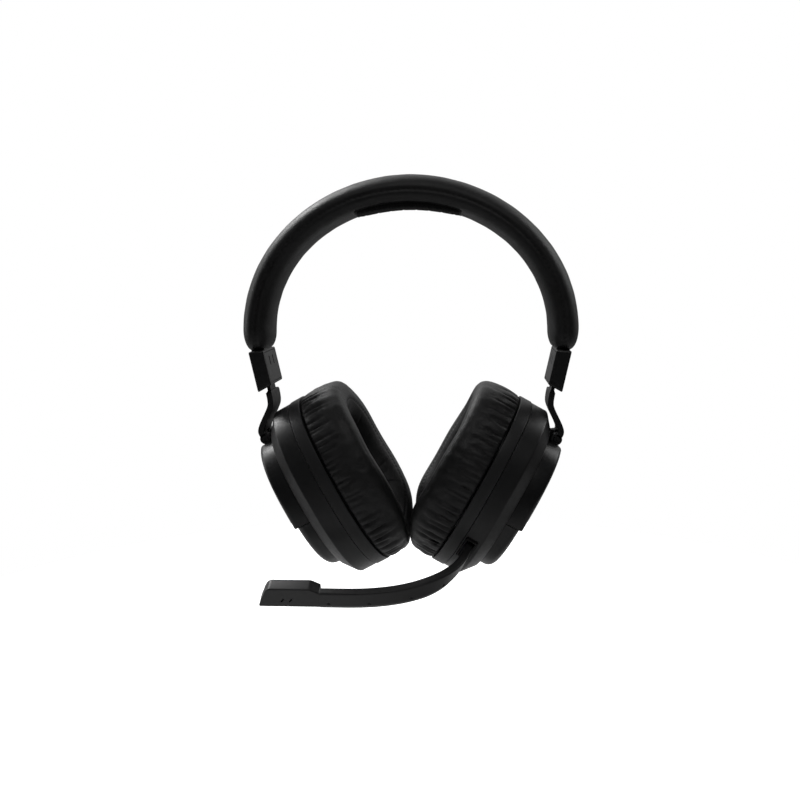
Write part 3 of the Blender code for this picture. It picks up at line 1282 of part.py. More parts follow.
def make_battery(parent):
    thick, deep, tall = BATTERY_SIZE
    outer = -(FLOOR_OUT - HOUSING_WALL - GAP)
    battery = box("battery", (outer, -deep / 2, -tall / 2), (outer + thick, deep / 2, tall / 2), parent,
                  (-CUP_OFFSET[0], CUP_OFFSET[1], CUP_OFFSET[2]))
    bevel(battery, 0.0008, 2)
    return paint(battery, material("battery_foil"))


# ---------------------------------------------------------------- assembly
def side_empties(word, sign):
    """Slide and tilt empties of one side, each on its joint's axis."""
    centre = slider_frame()
    slider = empty(f"slider_{word}", (sign * centre.x, 0, centre.z), sign * SLIDER_LEAN)
    arm = empty(f"arm_slide_{word}", (0, 0, 0), 0, slider)
    _, pivot = arm_centreline()
    tilt = empty(f"cup_tilt_{word}", (sign * pivot.x, 0, pivot.y), sign * (CUP_TOE_IN - SLIDER_LEAN), arm)
    return slider, arm, tilt


def twin(obj, parent):
    return mirrored(obj, obj.name.replace("_left", "_right"), parent)


def build():
    global PARTS, CUTTERS
    clear_scene()
    PARTS = make_collection("gaming_headset")
    CUTTERS = make_collection("cutters")
    slider_l, arm_l, tilt_l = side_empties("left", 1)
    slider_r, arm_r, tilt_r = side_empties("right", -1)
    sleeve = make_sleeve()
    make_end_pockets(sleeve, slider_l, "left", 1)
    make_end_pockets(sleeve, slider_r, "right", -1)
    make_spring()
    make_crown_pad()
    for maker in (make_slider, make_slider_cover, make_stop_pin, make_slide_shoe):
        twin(maker(slider_l), slider_r)
    twin(make_arm(arm_l), arm_r)
    twin(make_pivot_pin(tilt_l), tilt_r)
    housing = make_housing(tilt_l)
    twin(housing, tilt_r)
    for maker in (make_outer_plate, make_lower_cover, make_baffle, make_driver, make_grille,
                  make_cushion_frame, make_cushion):
        twin(maker(tilt_l), tilt_r)
    build_microphone(tilt_l, housing)
    build_controls(tilt_l, housing)
    make_battery(tilt_r)


def build_microphone(tilt, housing):
    hub, _, _ = boom_frame()
    swing = empty("boom_swing", Vector(CUP_OFFSET) + hub, 0, tilt)
    make_boom_socket(tilt, housing)
    make_boom_pin(swing, -hub)
    make_boom(swing, -hub)
    make_mic_housing(swing, -hub)
    make_mic_element(swing, -hub)
    make_mic_cover(swing, -hub)


def build_controls(tilt, housing):
    make_board(tilt)
    wheel = wheel_centre()
    turn = empty("volume_turn", Vector(CUP_OFFSET) + wheel, 0, tilt)
    make_volume_wheel(turn, -wheel, housing)
    make_encoder(tilt)
    for name, up in (("mute", MUTE_UP), ("power", POWER_UP)):
        _, point, normal = button_matrix(up)
        place = Vector((CONTROL_OUT, 0, 0)) + point
        press = empty(f"{name}_press", Vector(CUP_OFFSET) + place, 0, tilt)
        make_button(f"{name}_button", up, press, -place, housing)
        make_switch(f"{name}_switch", up, tilt)
    make_usb_port(tilt, housing)
    make_status_light(tilt, housing)


build()
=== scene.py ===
import json
import math

import bmesh
import bpy
import numpy as np
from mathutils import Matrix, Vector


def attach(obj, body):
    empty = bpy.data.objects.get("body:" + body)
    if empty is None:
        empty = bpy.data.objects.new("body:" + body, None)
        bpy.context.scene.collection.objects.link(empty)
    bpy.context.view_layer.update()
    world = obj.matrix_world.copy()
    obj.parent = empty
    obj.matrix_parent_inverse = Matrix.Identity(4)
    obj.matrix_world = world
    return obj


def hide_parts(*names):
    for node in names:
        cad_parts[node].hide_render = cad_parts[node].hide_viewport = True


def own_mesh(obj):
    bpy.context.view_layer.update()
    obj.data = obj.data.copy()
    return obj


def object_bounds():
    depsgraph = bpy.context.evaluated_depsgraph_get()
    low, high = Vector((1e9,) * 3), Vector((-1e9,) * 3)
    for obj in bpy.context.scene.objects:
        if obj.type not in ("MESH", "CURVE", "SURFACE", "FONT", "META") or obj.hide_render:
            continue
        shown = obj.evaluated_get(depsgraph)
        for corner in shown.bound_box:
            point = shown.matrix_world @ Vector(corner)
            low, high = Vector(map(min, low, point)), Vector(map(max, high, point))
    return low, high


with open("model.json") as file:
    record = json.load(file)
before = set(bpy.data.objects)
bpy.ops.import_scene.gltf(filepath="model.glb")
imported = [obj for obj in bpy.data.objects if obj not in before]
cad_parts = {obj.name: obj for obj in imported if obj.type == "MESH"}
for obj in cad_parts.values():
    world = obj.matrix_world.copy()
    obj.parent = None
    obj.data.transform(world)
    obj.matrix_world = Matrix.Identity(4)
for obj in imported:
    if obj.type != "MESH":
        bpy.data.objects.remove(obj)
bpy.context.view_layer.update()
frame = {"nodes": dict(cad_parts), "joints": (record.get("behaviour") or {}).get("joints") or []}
joints = {joint["name"]: joint for joint in frame["joints"]}
print("loaded", len(frame["nodes"]), "nodes")

# The cup's own coordinates: out along the ear axis from the cushion's seam, y to the back, up the cup
cup = {
    "halfHeight": 0.0502,
    "halfDepth": 0.041,
    "squareness": 2.35,  # exponent of the oval
    "pivotOut": 0.0269,  # tilt axis from the cup's middle
    "pivotUp": 0.0405,
    "gap": 0.0003,
}
pivot = joints["tilt_left"]["pos_m"]
toeIn = math.radians(joints["tilt_left"]["range_deg"][1])
toeCos, toeSin = math.cos(toeIn), math.sin(toeIn)
sides = (("left", 1), ("right", -1))  # the wearer's own, with the sign of x

# The slider's own coordinates: across its thickness and up along the slide
slider = {
    "centre": (0.0798, -0.0848),
    "thickness": 0.008,
    "depth": 0.033,
    "top": 0.0098,
    "topRise": 0.0009,
    "bottom": 0.0092,
    "bottomDrop": 0.0024,
    "cornerRound": 0.0011,
    "edgeRound": 0.0006,
    "bed": (0.0147, -0.0081, 0.0087),  # half depth, low and high edge of the inner cover's bed
    "bedDepth": 0.0013,
    "neck": (-0.0038, 0.0034, 0.0108, 0.0046),  # inner, outer, half depth, height over the block
}
slideAxis = joints["slide_left"]["axis"]
slideCos, slideSin = -slideAxis[2], -slideAxis[0]

band = {
    "halfWidth": 0.0825,
    "rise": 0.0745,
    "centreZ": -0.065,
    "thickness": 0.0164,
    "depth": 0.033,
    "endAngle": math.radians(-7.0),
    "endTaper": 0.0105,
    "endScale": 0.60,
    "power": 2.5,
}


def smoothStep(value):
    # Three squares less two cubes of a value held between 0 and 1
    value = np.clip(value, 0.0, 1.0)
    return value * value * (3 - 2 * value)


def hill(distance, width):
    # A bell curve: e to the minus square of distance over width
    return np.exp(-((distance / width) ** 2))


def signedPower(value, power):
    # The power of a value's size, with its sign kept
    return np.sign(value) * np.abs(value) ** power


def unit(vectors):
    # Each vector over its own length
    length = np.linalg.norm(vectors, axis=-1, keepdims=True)
    return vectors / np.maximum(length, 1e-12)


def stacked(*parts):
    # Separate coordinates as one array of points
    return np.stack(np.broadcast_arrays(*parts), axis=-1)


def gridFaces(rows, columns, closeRows=False, closeColumns=False, start=0):
    # Four-cornered faces between neighbouring rows and columns
    i = np.arange(rows if closeRows else rows - 1)[:, None]
    j = np.arange(columns if closeColumns else columns - 1)[None, :]
    nextI = (i + 1) % rows
    nextJ = (j + 1) % columns
    corners = (i * columns + j, i * columns + nextJ, nextI * columns + nextJ, nextI * columns + j)
    return np.stack([np.broadcast_to(c, (i.size, j.size)) for c in corners], axis=-1).reshape(-1, 4) + start


def hermite(start, startSlope, end, endSlope, steps):
    # Cubic from start to end with the given slopes at both ends
    t = np.linspace(0, 1, steps + 1)[:, None]
    return (
        start * (2 * t**3 - 3 * t**2 + 1)
        + startSlope * (t**3 - 2 * t**2 + t)
        + end * (3 * t**2 - 2 * t**3)
        + endSlope * (t**3 - t**2)
    )


def runAlong(line):
    # Length along a line up to each of its points
    return np.concatenate([[0], np.cumsum(np.linalg.norm(np.diff(line, axis=0), axis=1))])


def fullTurn(count):
    # Even angles all the way round
    return 2 * math.pi * np.arange(count) / count


def evenly(points, count, closed=False):
    # The same curve with its points evenly spaced along its length
    line = np.concatenate([points, points[:1]]) if closed else points
    run = runAlong(line)
    wanted = np.linspace(0, run[-1], count, endpoint=not closed)
    return np.stack([np.interp(wanted, run, line[:, k]) for k in range(line.shape[1])], axis=-1)


def roundCorners(corners, radius, steps=4, closed=True, fill=None):
    # Each corner becomes a parabola between points one radius along its two edges;
    # fill adds that many points on the edge after a corner
    count = corners.shape[-2]
    radii = np.broadcast_to(radius, count)
    before = np.roll(corners, 1, axis=-2)
    after = np.roll(corners, -1, axis=-2)
    t = np.linspace(0, 1, steps + 1)[:, None]
    parts = []
    for k in range(count):
        corner = corners[..., k : k + 1, :]
        if not closed and k in (0, count - 1):
            parts.append(corner)
            continue
        first = corner + unit(before[..., k : k + 1, :] - corner) * radii[k]
        last = corner + unit(after[..., k : k + 1, :] - corner) * radii[k]
        parts.append((1 - t) ** 2 * first + 2 * t * (1 - t) * corner + t**2 * last)
        if fill and fill[k]:
            nextCorner = after[..., k : k + 1, :]
            target = nextCorner + unit(corner - nextCorner) * radii[k]
            share = np.linspace(0, 1, fill[k] + 2)[1:-1, None]
            parts.append(last * (1 - share) + target * share)
    return np.concatenate(parts, axis=-2)


def offsetLoop(loop, amounts):
    # Every edge moves inwards by its own amount; a corner goes to where its two moved edges meet
    along = unit(np.roll(loop, -1, axis=0) - loop)
    inward = np.stack([-along[:, 1], along[:, 0]], axis=-1)
    if loopArea(loop) < 0:
        inward = -inward
    n1 = np.roll(inward, 1, axis=0)
    d1 = np.roll(amounts, 1)
    cross = n1[:, 0] * inward[:, 1] - n1[:, 1] * inward[:, 0]
    mean = unit(n1 + inward) * ((d1 + amounts) / 2)[:, None]
    safe = np.where(np.abs(cross) < 0.25, 1.0, cross)
    meet = np.stack(
        [(d1 * inward[:, 1] - amounts * n1[:, 1]) / safe, (n1[:, 0] * amounts - inward[:, 0] * d1) / safe],
        axis=-1,
    )
    return loop + np.where(np.abs(cross)[:, None] < 0.25, mean, meet)


def loopArea(loop):
    # Half the sum of each edge's cross product, positive when the loop runs anticlockwise
    after = np.roll(loop, -1, axis=0)
    return float(np.sum(loop[:, 0] * after[:, 1] - loop[:, 1] * after[:, 0]) / 2)


def cupPlace(out, y, up, side=1):
    # Cup coordinates turned by the toe-in about the tilt axis
    outRun = out - cup["pivotOut"]
    upRun = up - cup["pivotUp"]
    x = pivot[0] + outRun * toeCos + upRun * toeSin
    return stacked(side * x, y, pivot[2] - outRun * toeSin + upRun * toeCos)


def cupPoints(points):
    # The same for one array of points
    return cupPlace(points[..., 0], points[..., 1], points[..., 2])


def intoCup(vector):
    # A direction of the room in cup coordinates
    x, y, z = vector
    return np.array([x * toeCos - z * toeSin, y, x * toeSin + z * toeCos])


def slidePlace(across, y, up, side=1):
    # Slider coordinates leaned along the slide
    x = slider["centre"][0] + across * slideCos + up * slideSin
    z = slider["centre"][1] - across * slideSin + up * slideCos
    return stacked(side * x, y, z)


def bandPlace(angle, raiseBy, y):
    # Half an ellipse over the head, moved along its normal by raiseBy
    normal = unit(stacked(np.cos(angle) * band["rise"], np.sin(angle) * band["halfWidth"]))
    x = band["halfWidth"] * np.cos(angle) + normal[..., 0] * raiseBy
    z = band["centreZ"] + band["rise"] * np.sin(angle) + normal[..., 1] * raiseBy
    return stacked(x, y, z)


def ovalPoint(angle, halfHeight, halfDepth):
    # Superellipse: half sizes times cosine and sine raised to two over the squareness
    power = 2 / cup["squareness"]
    return halfDepth * signedPower(np.cos(angle), power), halfHeight * signedPower(np.sin(angle), power)


def ovalAngles(count):
    # Angles whose points are evenly spaced round the cup's oval, and the length all round
    fine = np.linspace(0, 2 * math.pi, 6001)
    run = runAlong(np.stack(ovalPoint(fine, cup["halfHeight"], cup["halfDepth"]), axis=-1))
    return np.interp(np.linspace(0, run[-1], count, endpoint=False), run, fine), fine, run


def wallFrame(up=None, y=None, sense=1):
    # Point, outward normal and angle on the cup's wall at a height up it or a depth back
    h, d, q = cup["halfHeight"], cup["halfDepth"], cup["squareness"]
    if up is None:
        angle = sense * math.acos(signedPower(y / d, q / 2))
    else:
        angle = math.asin(signedPower(up / h, q / 2))
        angle = angle if sense > 0 else math.pi - angle
    py, pu = ovalPoint(np.array(angle), h, d)
    normal = np.array([0.0, signedPower(py / d, q - 1) / d, signedPower(pu / h, q - 1) / h])
    return np.array([0.0, float(py), float(pu)]), unit(normal), angle % (2 * math.pi)


def makeObject(name, points, faces, look, body, replaced=(), angle=35, marks=None):
    # Points and lists of faces become a welded mesh that rides on a body; marks are named values
    # per point, and edges sharper than the angle stay crisp
    mesh = bpy.data.meshes.new(name)
    lists = [face for group in faces for face in np.asarray(group).tolist()]
    mesh.from_pydata(np.asarray(points, float).reshape(-1, 3).tolist(), [], lists)
    for key, values in (marks or {}).items():
        mesh.attributes.new(key, "FLOAT", "POINT").data.foreach_set("value", np.ravel(values))
    bm = bmesh.new()
    bm.from_mesh(mesh)
    bmesh.ops.remove_doubles(bm, verts=bm.verts, dist=1e-6)
    bmesh.ops.recalc_face_normals(bm, faces=bm.faces)
    bm.to_mesh(mesh)
    bm.free()
    mesh.shade_smooth()
    mesh.set_sharp_from_angle(angle=math.radians(angle))
    mesh.materials.append(materials[look])
    obj = bpy.data.objects.new(name, mesh)
    bpy.context.scene.collection.objects.link(obj)
    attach(obj, body)
    if replaced:
        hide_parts(*replaced)
    return obj


def twoSkins(outer, inner, keep, wrap):
    # Two matching grids joined wherever a kept cell borders a missing one
    rows, columns = outer.shape[:2]
    points = np.concatenate([outer.reshape(-1, 3), inner.reshape(-1, 3)])
    cells = gridFaces(rows, columns, closeColumns=wrap).reshape(keep.shape + (4,))
    below = rows * columns
    above = np.pad(keep, ((1, 1), (0, 0)))
    beside = np.concatenate([keep[:, -1:], keep], axis=1) if wrap else np.pad(keep, ((0, 0), (1, 1)))
    i, j = np.nonzero(above[1:] != above[:-1])
    m, n = np.nonzero(beside[:, 1:] != beside[:, :-1])
    a = np.concatenate([i * columns + j, m * columns + n])
    b = np.concatenate([i * columns + (j + 1) % columns, (m + 1) * columns + n])
    walls = np.stack([a, b, b + below, a + below], axis=-1)
    return points, [cells[keep], cells[keep][:, ::-1] + below, walls]


def tube(inner, outer, low, high, edge=0.0003):
    # A profile of radius and depth with bevelled rims, turned full circle: radius times cosine,
    # radius times sine, and depth
    radius = np.array([inner, outer - edge, outer, outer, outer - edge, inner])
    depth = np.array([low, low, low + edge, high - edge, high, high])
    turn = fullTurn(48)[:, None]
    faces = gridFaces(48, 6, closeRows=True, closeColumns=True)
    return radius * np.cos(turn), radius * np.sin(turn), depth + 0 * turn, faces


def roundedSlab(loop, low, high, rounds, place, weights=1.0, steps=5, corner=0.0, holes=(), holeDepth=0.0):
    # A flat outline raised from low to high; its two rims round over by a quarter circle whose
    # radius times an edge's weight sets that edge's inset. corner rounds the outline's own corners.
    # holes are loops sunk into the high face.
    weights = weights * np.ones(len(loop))

    def ringAt(insets):
        # The outline drawn in by each edge's inset, its corners rounded less as it shrinks
        moved = offsetLoop(loop, insets)
        if not np.any(corner):
            return moved
        return roundCorners(moved, np.maximum(corner - insets.max(), corner * 0.15), 5)

    rings = []
    for level, radius, sense in ((low, rounds[0], -1), (high, rounds[1], 1)):
        turn = np.linspace(0, math.pi / 2, steps + 1)
        insets = radius * (1 - np.cos(turn))
        levels = level - sense * radius * (1 - np.sin(turn))
        part = [(ringAt(weights * inset), at) for inset, at in zip(insets, levels)]
        part.append((ringAt(weights * radius + 0.00012), level))
        rings.append(part if sense > 0 else part[::-1])
    stack = rings[0] + rings[1]
    count = len(stack[0][0])
    points = np.concatenate([stacked(ring[:, 0], ring[:, 1], np.full(count, at)) for ring, at in stack])
    faces = [gridFaces(len(stack), count, closeColumns=True), [list(range(count))]]
    last = (len(stack) - 1) * count
    if not holes:
        faces.append([list(range(last, last + count))])
        return place(points), faces, None
    loops = [list(range(last, last + count))]
    for hole in holes:
        start = len(points)
        size = len(hole)
        ringLow = stacked(hole[:, 0], hole[:, 1], np.full(size, high))
        ringDeep = stacked(hole[:, 0], hole[:, 1], np.full(size, high - holeDepth))
        points = np.concatenate([points, ringLow, ringDeep])
        faces.append(gridFaces(2, size, closeColumns=True, start=start))
        faces.append([list(range(start + size, start + 2 * size))])
        loops.append(list(range(start, start + size)))
    return place(points), faces, loops


def fillLoops(obj, points, loops):
    # Closes the flat face between an outline and its holes
    mesh = obj.data
    bm = bmesh.new()
    bm.from_mesh(mesh)
    bm.verts.ensure_lookup_table()
    places = np.array([v.co for v in bm.verts])
    edges = []
    for loop in loops:
        ids = [int(np.argmin(np.sum((places - points[k]) ** 2, axis=1))) for k in loop]
        for a, b in zip(ids, ids[1:] + ids[:1]):
            pair = (bm.verts[a], bm.verts[b])
            edges.append(bm.edges.get(pair) or bm.edges.new(pair))
    bmesh.ops.triangle_fill(bm, edges=edges, use_beauty=True)
    bmesh.ops.recalc_face_normals(bm, faces=bm.faces)
    bm.to_mesh(mesh)
    bm.free()
    mesh.shade_smooth()
    mesh.set_sharp_from_angle(angle=math.radians(35))


def addNode(tree, kind, inputs=None, **settings):
    # A node with its settings; an input is a link where its value is a socket
    node = tree.nodes.new(kind)
    for key, value in settings.items():
        setattr(node, key, value)
    for key, value in (inputs or {}).items():
        if isinstance(value, bpy.types.NodeSocket):
            tree.links.new(value, node.inputs[key])
        else:
            node.inputs[key].default_value = value
    return node


def maths(tree, operation, a, b=0.0, clamp=False):
    # One operation on two values
    node = addNode(tree, "ShaderNodeMath", {0: a, 1: b}, operation=operation, use_clamp=clamp)
    return node.outputs[0]


def times(tree, a, b, clamp=False):
    # First value by the second
    return maths(tree, "MULTIPLY", a, b, clamp)


def plus(tree, a, b, clamp=False):
    # First value and the second
    return maths(tree, "ADD", a, b, clamp)


def rangeOf(tree, value, low, high, toLow=0.0, toHigh=1.0):
    # A smooth step from one range to another
    inputs = {"Value": value, "From Min": low, "From Max": high, "To Min": toLow, "To Max": toHigh}
    return addNode(tree, "ShaderNodeMapRange", inputs, interpolation_type="SMOOTHSTEP").outputs["Result"]


def mixColour(tree, share, first, second, blend="MIX"):
    # Two colours mixed by a share
    inputs = {0: share, 6: first, 7: second}
    return addNode(tree, "ShaderNodeMix", inputs, data_type="RGBA", blend_type=blend).outputs[2]


def makeGroup(name, **inputs):
    # A group with a value input per number given and a vector input per None
    tree = bpy.data.node_groups.new(name, "ShaderNodeTree")
    for label, default in inputs.items():
        kind = "NodeSocketVector" if default is None else "NodeSocketFloat"
        socket = tree.interface.new_socket(label, in_out="INPUT", socket_type=kind)
        if default is not None:
            socket.default_value = default
    return tree, addNode(tree, "NodeGroupInput").outputs


def giveOut(tree, **results):
    # The group's outputs, of the kinds of the sockets that feed them
    for label, socket in results.items():
        kind = "NodeSocketVector" if socket.type == "VECTOR" else "NodeSocketFloat"
        tree.interface.new_socket(label, in_out="OUTPUT", socket_type=kind)
    addNode(tree, "NodeGroupOutput", results)
    return tree


def noiseOf(tree, place, scale, detail=3.0, roughness=0.55):
    # Layered noise at a number of waves per metre
    inputs = {"Vector": place, "Scale": scale, "Detail": detail, "Roughness": roughness}
    return addNode(tree, "ShaderNodeTexNoise", inputs).outputs


def makeLeatherGrain():
    # Pebbles between creases: distance to the edges of warped random cells, with pores on top
    tree, given = makeGroup("leatherGrain", Place=None, Size=0.0009, Patch=0.02)
    density = maths(tree, "DIVIDE", 1.0, given["Size"])
    warp = noiseOf(tree, given["Place"], times(tree, density, 0.35), 2.0)["Color"]
    shift = {0: warp, 1: (0.0011,) * 3, 2: given["Place"]}
    warped = addNode(tree, "ShaderNodeVectorMath", shift, operation="MULTIPLY_ADD")
    spots = {"Vector": warped.outputs[0], "Scale": density}
    cells = addNode(tree, "ShaderNodeTexVoronoi", spots, feature="DISTANCE_TO_EDGE")
    pebble = rangeOf(tree, cells.outputs["Distance"], 0.0, 0.22)
    pores = noiseOf(tree, given["Place"], times(tree, density, 3.1), 2.0)["Fac"]
    height = plus(tree, times(tree, pebble, 0.75), times(tree, pores, 0.35))
    patch = noiseOf(tree, given["Place"], maths(tree, "DIVIDE", 1.0, given["Patch"]), 3.0)["Fac"]
    # tone: random patches, with painted shade in the creases between pebbles
    tone = plus(tree, rangeOf(tree, patch, 0.3, 0.7, 0.78, 1.16), times(tree, pebble, 0.1))
    return giveOut(tree, Height=height, Tone=tone, Shine=rangeOf(tree, patch, 0.3, 0.72))


def makeMouldedSkin():
    # The fine even pits of a moulded surface, with broad faint flow marks
    tree, given = makeGroup("mouldedSkin", Place=None, Size=0.0004, Patch=0.03)
    density = maths(tree, "DIVIDE", 1.0, given["Size"])
    fine = noiseOf(tree, given["Place"], density, 3.0, 0.65)["Fac"]
    coarse = noiseOf(tree, given["Place"], times(tree, density, 0.23), 2.0)["Fac"]
    patch = noiseOf(tree, given["Place"], maths(tree, "DIVIDE", 1.0, given["Patch"]), 4.0)["Fac"]
    height = plus(tree, times(tree, fine, 0.8), times(tree, coarse, 0.3))
    tone = rangeOf(tree, patch, 0.3, 0.7, 0.86, 1.14)
    return giveOut(tree, Height=height, Tone=tone, Shine=rangeOf(tree, coarse, 0.3, 0.7))


def makeEdgeWear():
    # Edges are where a rounded normal leaves the true one; noise breaks the wear up
    tree, given = makeGroup("edgeWear", Place=None, Radius=0.0004, Amount=0.5)
    soft = addNode(tree, "ShaderNodeBevel", {"Radius": given["Radius"]}, samples=6).outputs["Normal"]
    plain = addNode(tree, "ShaderNodeNewGeometry").outputs["Normal"]
    both = {0: soft, 1: plain}
    match = addNode(tree, "ShaderNodeVectorMath", both, operation="DOT_PRODUCT").outputs["Value"]
    edge = rangeOf(tree, maths(tree, "SUBTRACT", 1.0, match), 0.01, 0.16)
    broken = rangeOf(tree, noiseOf(tree, given["Place"], 420.0, 5.0, 0.7)["Fac"], 0.42, 0.66)
    worn = times(tree, times(tree, edge, broken), given["Amount"], True)
    return giveOut(tree, Wear=worn, Normal=soft)


def makeWeave():
    # Crossing threads from two distances over the cloth: each thread is a sine of its distance
    tree, given = makeGroup("clothWeave", Along=0.0, Across=0.0, Pitch=0.0011)
    turns = maths(tree, "DIVIDE", 2 * math.pi, given["Pitch"])
    a = times(tree, given["Along"], turns)
    b = times(tree, given["Across"], turns)
    warp, weft = (maths(tree, "ABSOLUTE", maths(tree, "SINE", times(tree, way, 0.5))) for way in (a, b))
    over = times(tree, maths(tree, "SINE", a), maths(tree, "SINE", b))
    height = plus(tree, maths(tree, "MAXIMUM", warp, weft), times(tree, over, 0.25))
    # painted shade in the low gaps between the threads; the same mask varies the roughness
    opening = rangeOf(tree, maths(tree, "MAXIMUM", warp, weft), 0.35, 0.75, 1.0, 0.0)
    return giveOut(tree, Height=height, Tone=rangeOf(tree, over, -1.0, 1.0, 0.75, 1.25), Opening=opening)


def makeDust():
    # Specks that settle on what faces up
    tree, given = makeGroup("dustFilm", Place=None, Amount=0.1)
    normal = addNode(tree, "ShaderNodeNewGeometry").outputs["Normal"]
    up = addNode(tree, "ShaderNodeSeparateXYZ", {"Vector": normal}).outputs["Z"]
    facing = rangeOf(tree, up, 0.1, 1.0)
    specks = rangeOf(tree, noiseOf(tree, given["Place"], 1700.0, 2.0)["Fac"], 0.62, 0.74)
    film = rangeOf(tree, noiseOf(tree, given["Place"], 60.0, 4.0)["Fac"], 0.35, 0.8, 0.1, 0.5)
    both = times(tree, maths(tree, "MAXIMUM", specks, film), facing)
    return giveOut(tree, Dust=times(tree, both, given["Amount"], True))


groups = {
    "leather": makeLeatherGrain(),
    "skin": makeMouldedSkin(),
    "wear": makeEdgeWear(),
    "weave": makeWeave(),
    "dust": makeDust(),
}


def useGroup(tree, name, **inputs):
    # A shared group placed in a material with its own values
    return addNode(tree, "ShaderNodeGroup", inputs, node_tree=groups[name]).outputs


def markOf(tree, name):
    # A named value that the mesh carries per point
    return addNode(tree, "ShaderNodeAttribute", attribute_name=name).outputs["Fac"]


# Finishes: each lists what sets it apart from the shared values
plainLook = {
    "grain": "skin",
    "rough": 0.4,
    "size": 0.0003,  # one grain
    "depth": 0.00001,  # the grain's height
    "patch": 0.004,  # broad patches
    "vary": 0.08,  # roughness over the patches
    "wear": 0.3,  # share of the edges worn
    "edge": 0.0002,  # width of the wear
    "dust": 0.03,  # on what faces up
    "metal": 0.0,
    "specular": 0.3,
}
looks = {
    "leatherette": {"slot": "leatherette", "grain": "leather", "colour": (0.0058, 0.0058, 0.0061),
        "rough": 0.47, "size": 0.00085, "depth": 0.00005, "patch": 0.018, "vary": 0.1, "wear": 0.12,
        "edge": 0.0004},
    "pipingLeather": {"slot": "pad_fabric", "grain": "leather", "colour": (0.0035, 0.0035, 0.0037),
        "rough": 0.6, "size": 0.0006, "depth": 0.00003, "patch": 0.018, "wear": 0.1, "dust": 0.02,
        "specular": 0.2},
    "crownFabric": {"slot": "pad_fabric", "grain": "weave", "colour": (0.0034, 0.0034, 0.0036),
        "rough": 0.92, "size": 0.0014, "depth": 0.0002, "patch": 0.015, "vary": 0.06, "wear": 0.0,
        "edge": 0.0003, "dust": 0.01, "specular": 0.12},
    "satinPlastic": {"slot": "satin_plastic", "colour": (0.0085, 0.0085, 0.0089), "rough": 0.36,
        "size": 0.00035, "depth": 0.000006, "patch": 0.02, "vary": 0.07, "wear": 0.35, "edge": 0.0004,
        "dust": 0.05},
    "cupPlastic": {"slot": "cup_plastic", "colour": (0.0078, 0.0078, 0.0082), "size": 0.00038,
        "patch": 0.03, "edge": 0.0004, "dust": 0.05},
    "platePlastic": {"slot": "plate_plastic", "colour": (0.0068, 0.0068, 0.0071), "rough": 0.33,
        "depth": 0.000005, "patch": 0.04, "vary": 0.07, "edge": 0.0004, "dust": 0.05},
    "rimPlastic": {"slot": "rim_plastic", "colour": (0.0105, 0.0105, 0.011), "rough": 0.46,
        "size": 0.00042, "depth": 0.000012, "patch": 0.02, "vary": 0.06, "wear": 0.25, "edge": 0.0003,
        "dust": 0.04},
    "boomPlastic": {"slot": "boom_plastic", "colour": (0.0095, 0.0095, 0.01), "rough": 0.42,
        "size": 0.00045, "depth": 0.000012, "patch": 0.015, "wear": 0.28, "edge": 0.0003, "dust": 0.04},
    "coatedSteel": {"slot": "coated_steel", "colour": (0.009, 0.009, 0.0095), "rough": 0.46,
        "size": 0.0005, "depth": 0.000006, "patch": 0.01, "wear": 0.35, "edge": 0.0003, "metal": 0.1,
        "specular": 0.22},
    "bareSteel": {"colour": (0.46, 0.46, 0.47), "rough": 0.3, "depth": 0.000004, "vary": 0.12,
        "dust": 0.02, "metal": 1.0},
    "driverMetal": {"colour": (0.2, 0.2, 0.21), "size": 0.0004, "depth": 0.000008, "patch": 0.006,
        "vary": 0.1, "wear": 0.2, "edge": 0.0003, "dust": 0.02, "metal": 0.8},
    "grilleMetal": {"colour": (0.011, 0.011, 0.012), "rough": 0.55, "size": 0.0004, "patch": 0.006,
        "dust": 0.04, "metal": 0.3},
    "nylon": {"colour": (0.62, 0.62, 0.58), "rough": 0.5, "size": 0.0005, "wear": 0.1, "dust": 0.02},
    "wheelRubber": {"colour": (0.013, 0.013, 0.013), "rough": 0.62, "depth": 0.00002, "vary": 0.1,
        "dust": 0.08},
    "socketPlastic": {"colour": (0.005, 0.005, 0.0052), "rough": 0.5, "size": 0.00038, "patch": 0.01,
        "wear": 0.2, "edge": 0.0003, "specular": 0.2},
    "keyPlastic": {"colour": (0.02, 0.02, 0.0205), "size": 0.00035, "depth": 0.000008, "wear": 0.5,
        "edge": 0.0003, "dust": 0.05},
    "component": {"colour": (0.02, 0.02, 0.02), "rough": 0.5, "size": 0.0004, "wear": 0.2},
    "board": {"colour": (0.012, 0.09, 0.035), "rough": 0.35, "size": 0.0012, "patch": 0.006, "vary": 0.1,
        "wear": 0.2},
    "lightLens": {"colour": (0.5, 0.52, 0.5), "rough": 0.25, "depth": 0.000003, "patch": 0.001,
        "vary": 0.05, "wear": 0.1},
    "batteryFoil": {"colour": (0.3, 0.31, 0.33), "rough": 0.34, "size": 0.003, "depth": 0.00006,
        "patch": 0.006, "vary": 0.1, "edge": 0.0003, "metal": 0.5},
}


laidOver = {
    "worn": (2.6, 0.012),  # worn edges are paler by this factor and this much
    "wornShine": 0.1,  # roughness that wear takes away
    "dustRough": 0.4,  # and that dust adds
    # painted shade: the near-black laid into seam grooves, channels, pleats and dimples
    "paintedShade": (0.0015, 0.0015, 0.0015, 1.0),
    # painted shade in the weave's low gaps
    "opening": (0.001, 0.001, 0.001, 1.0),
    "dust": (0.16, 0.16 * 0.98, 0.16 * 0.95, 1.0),
}


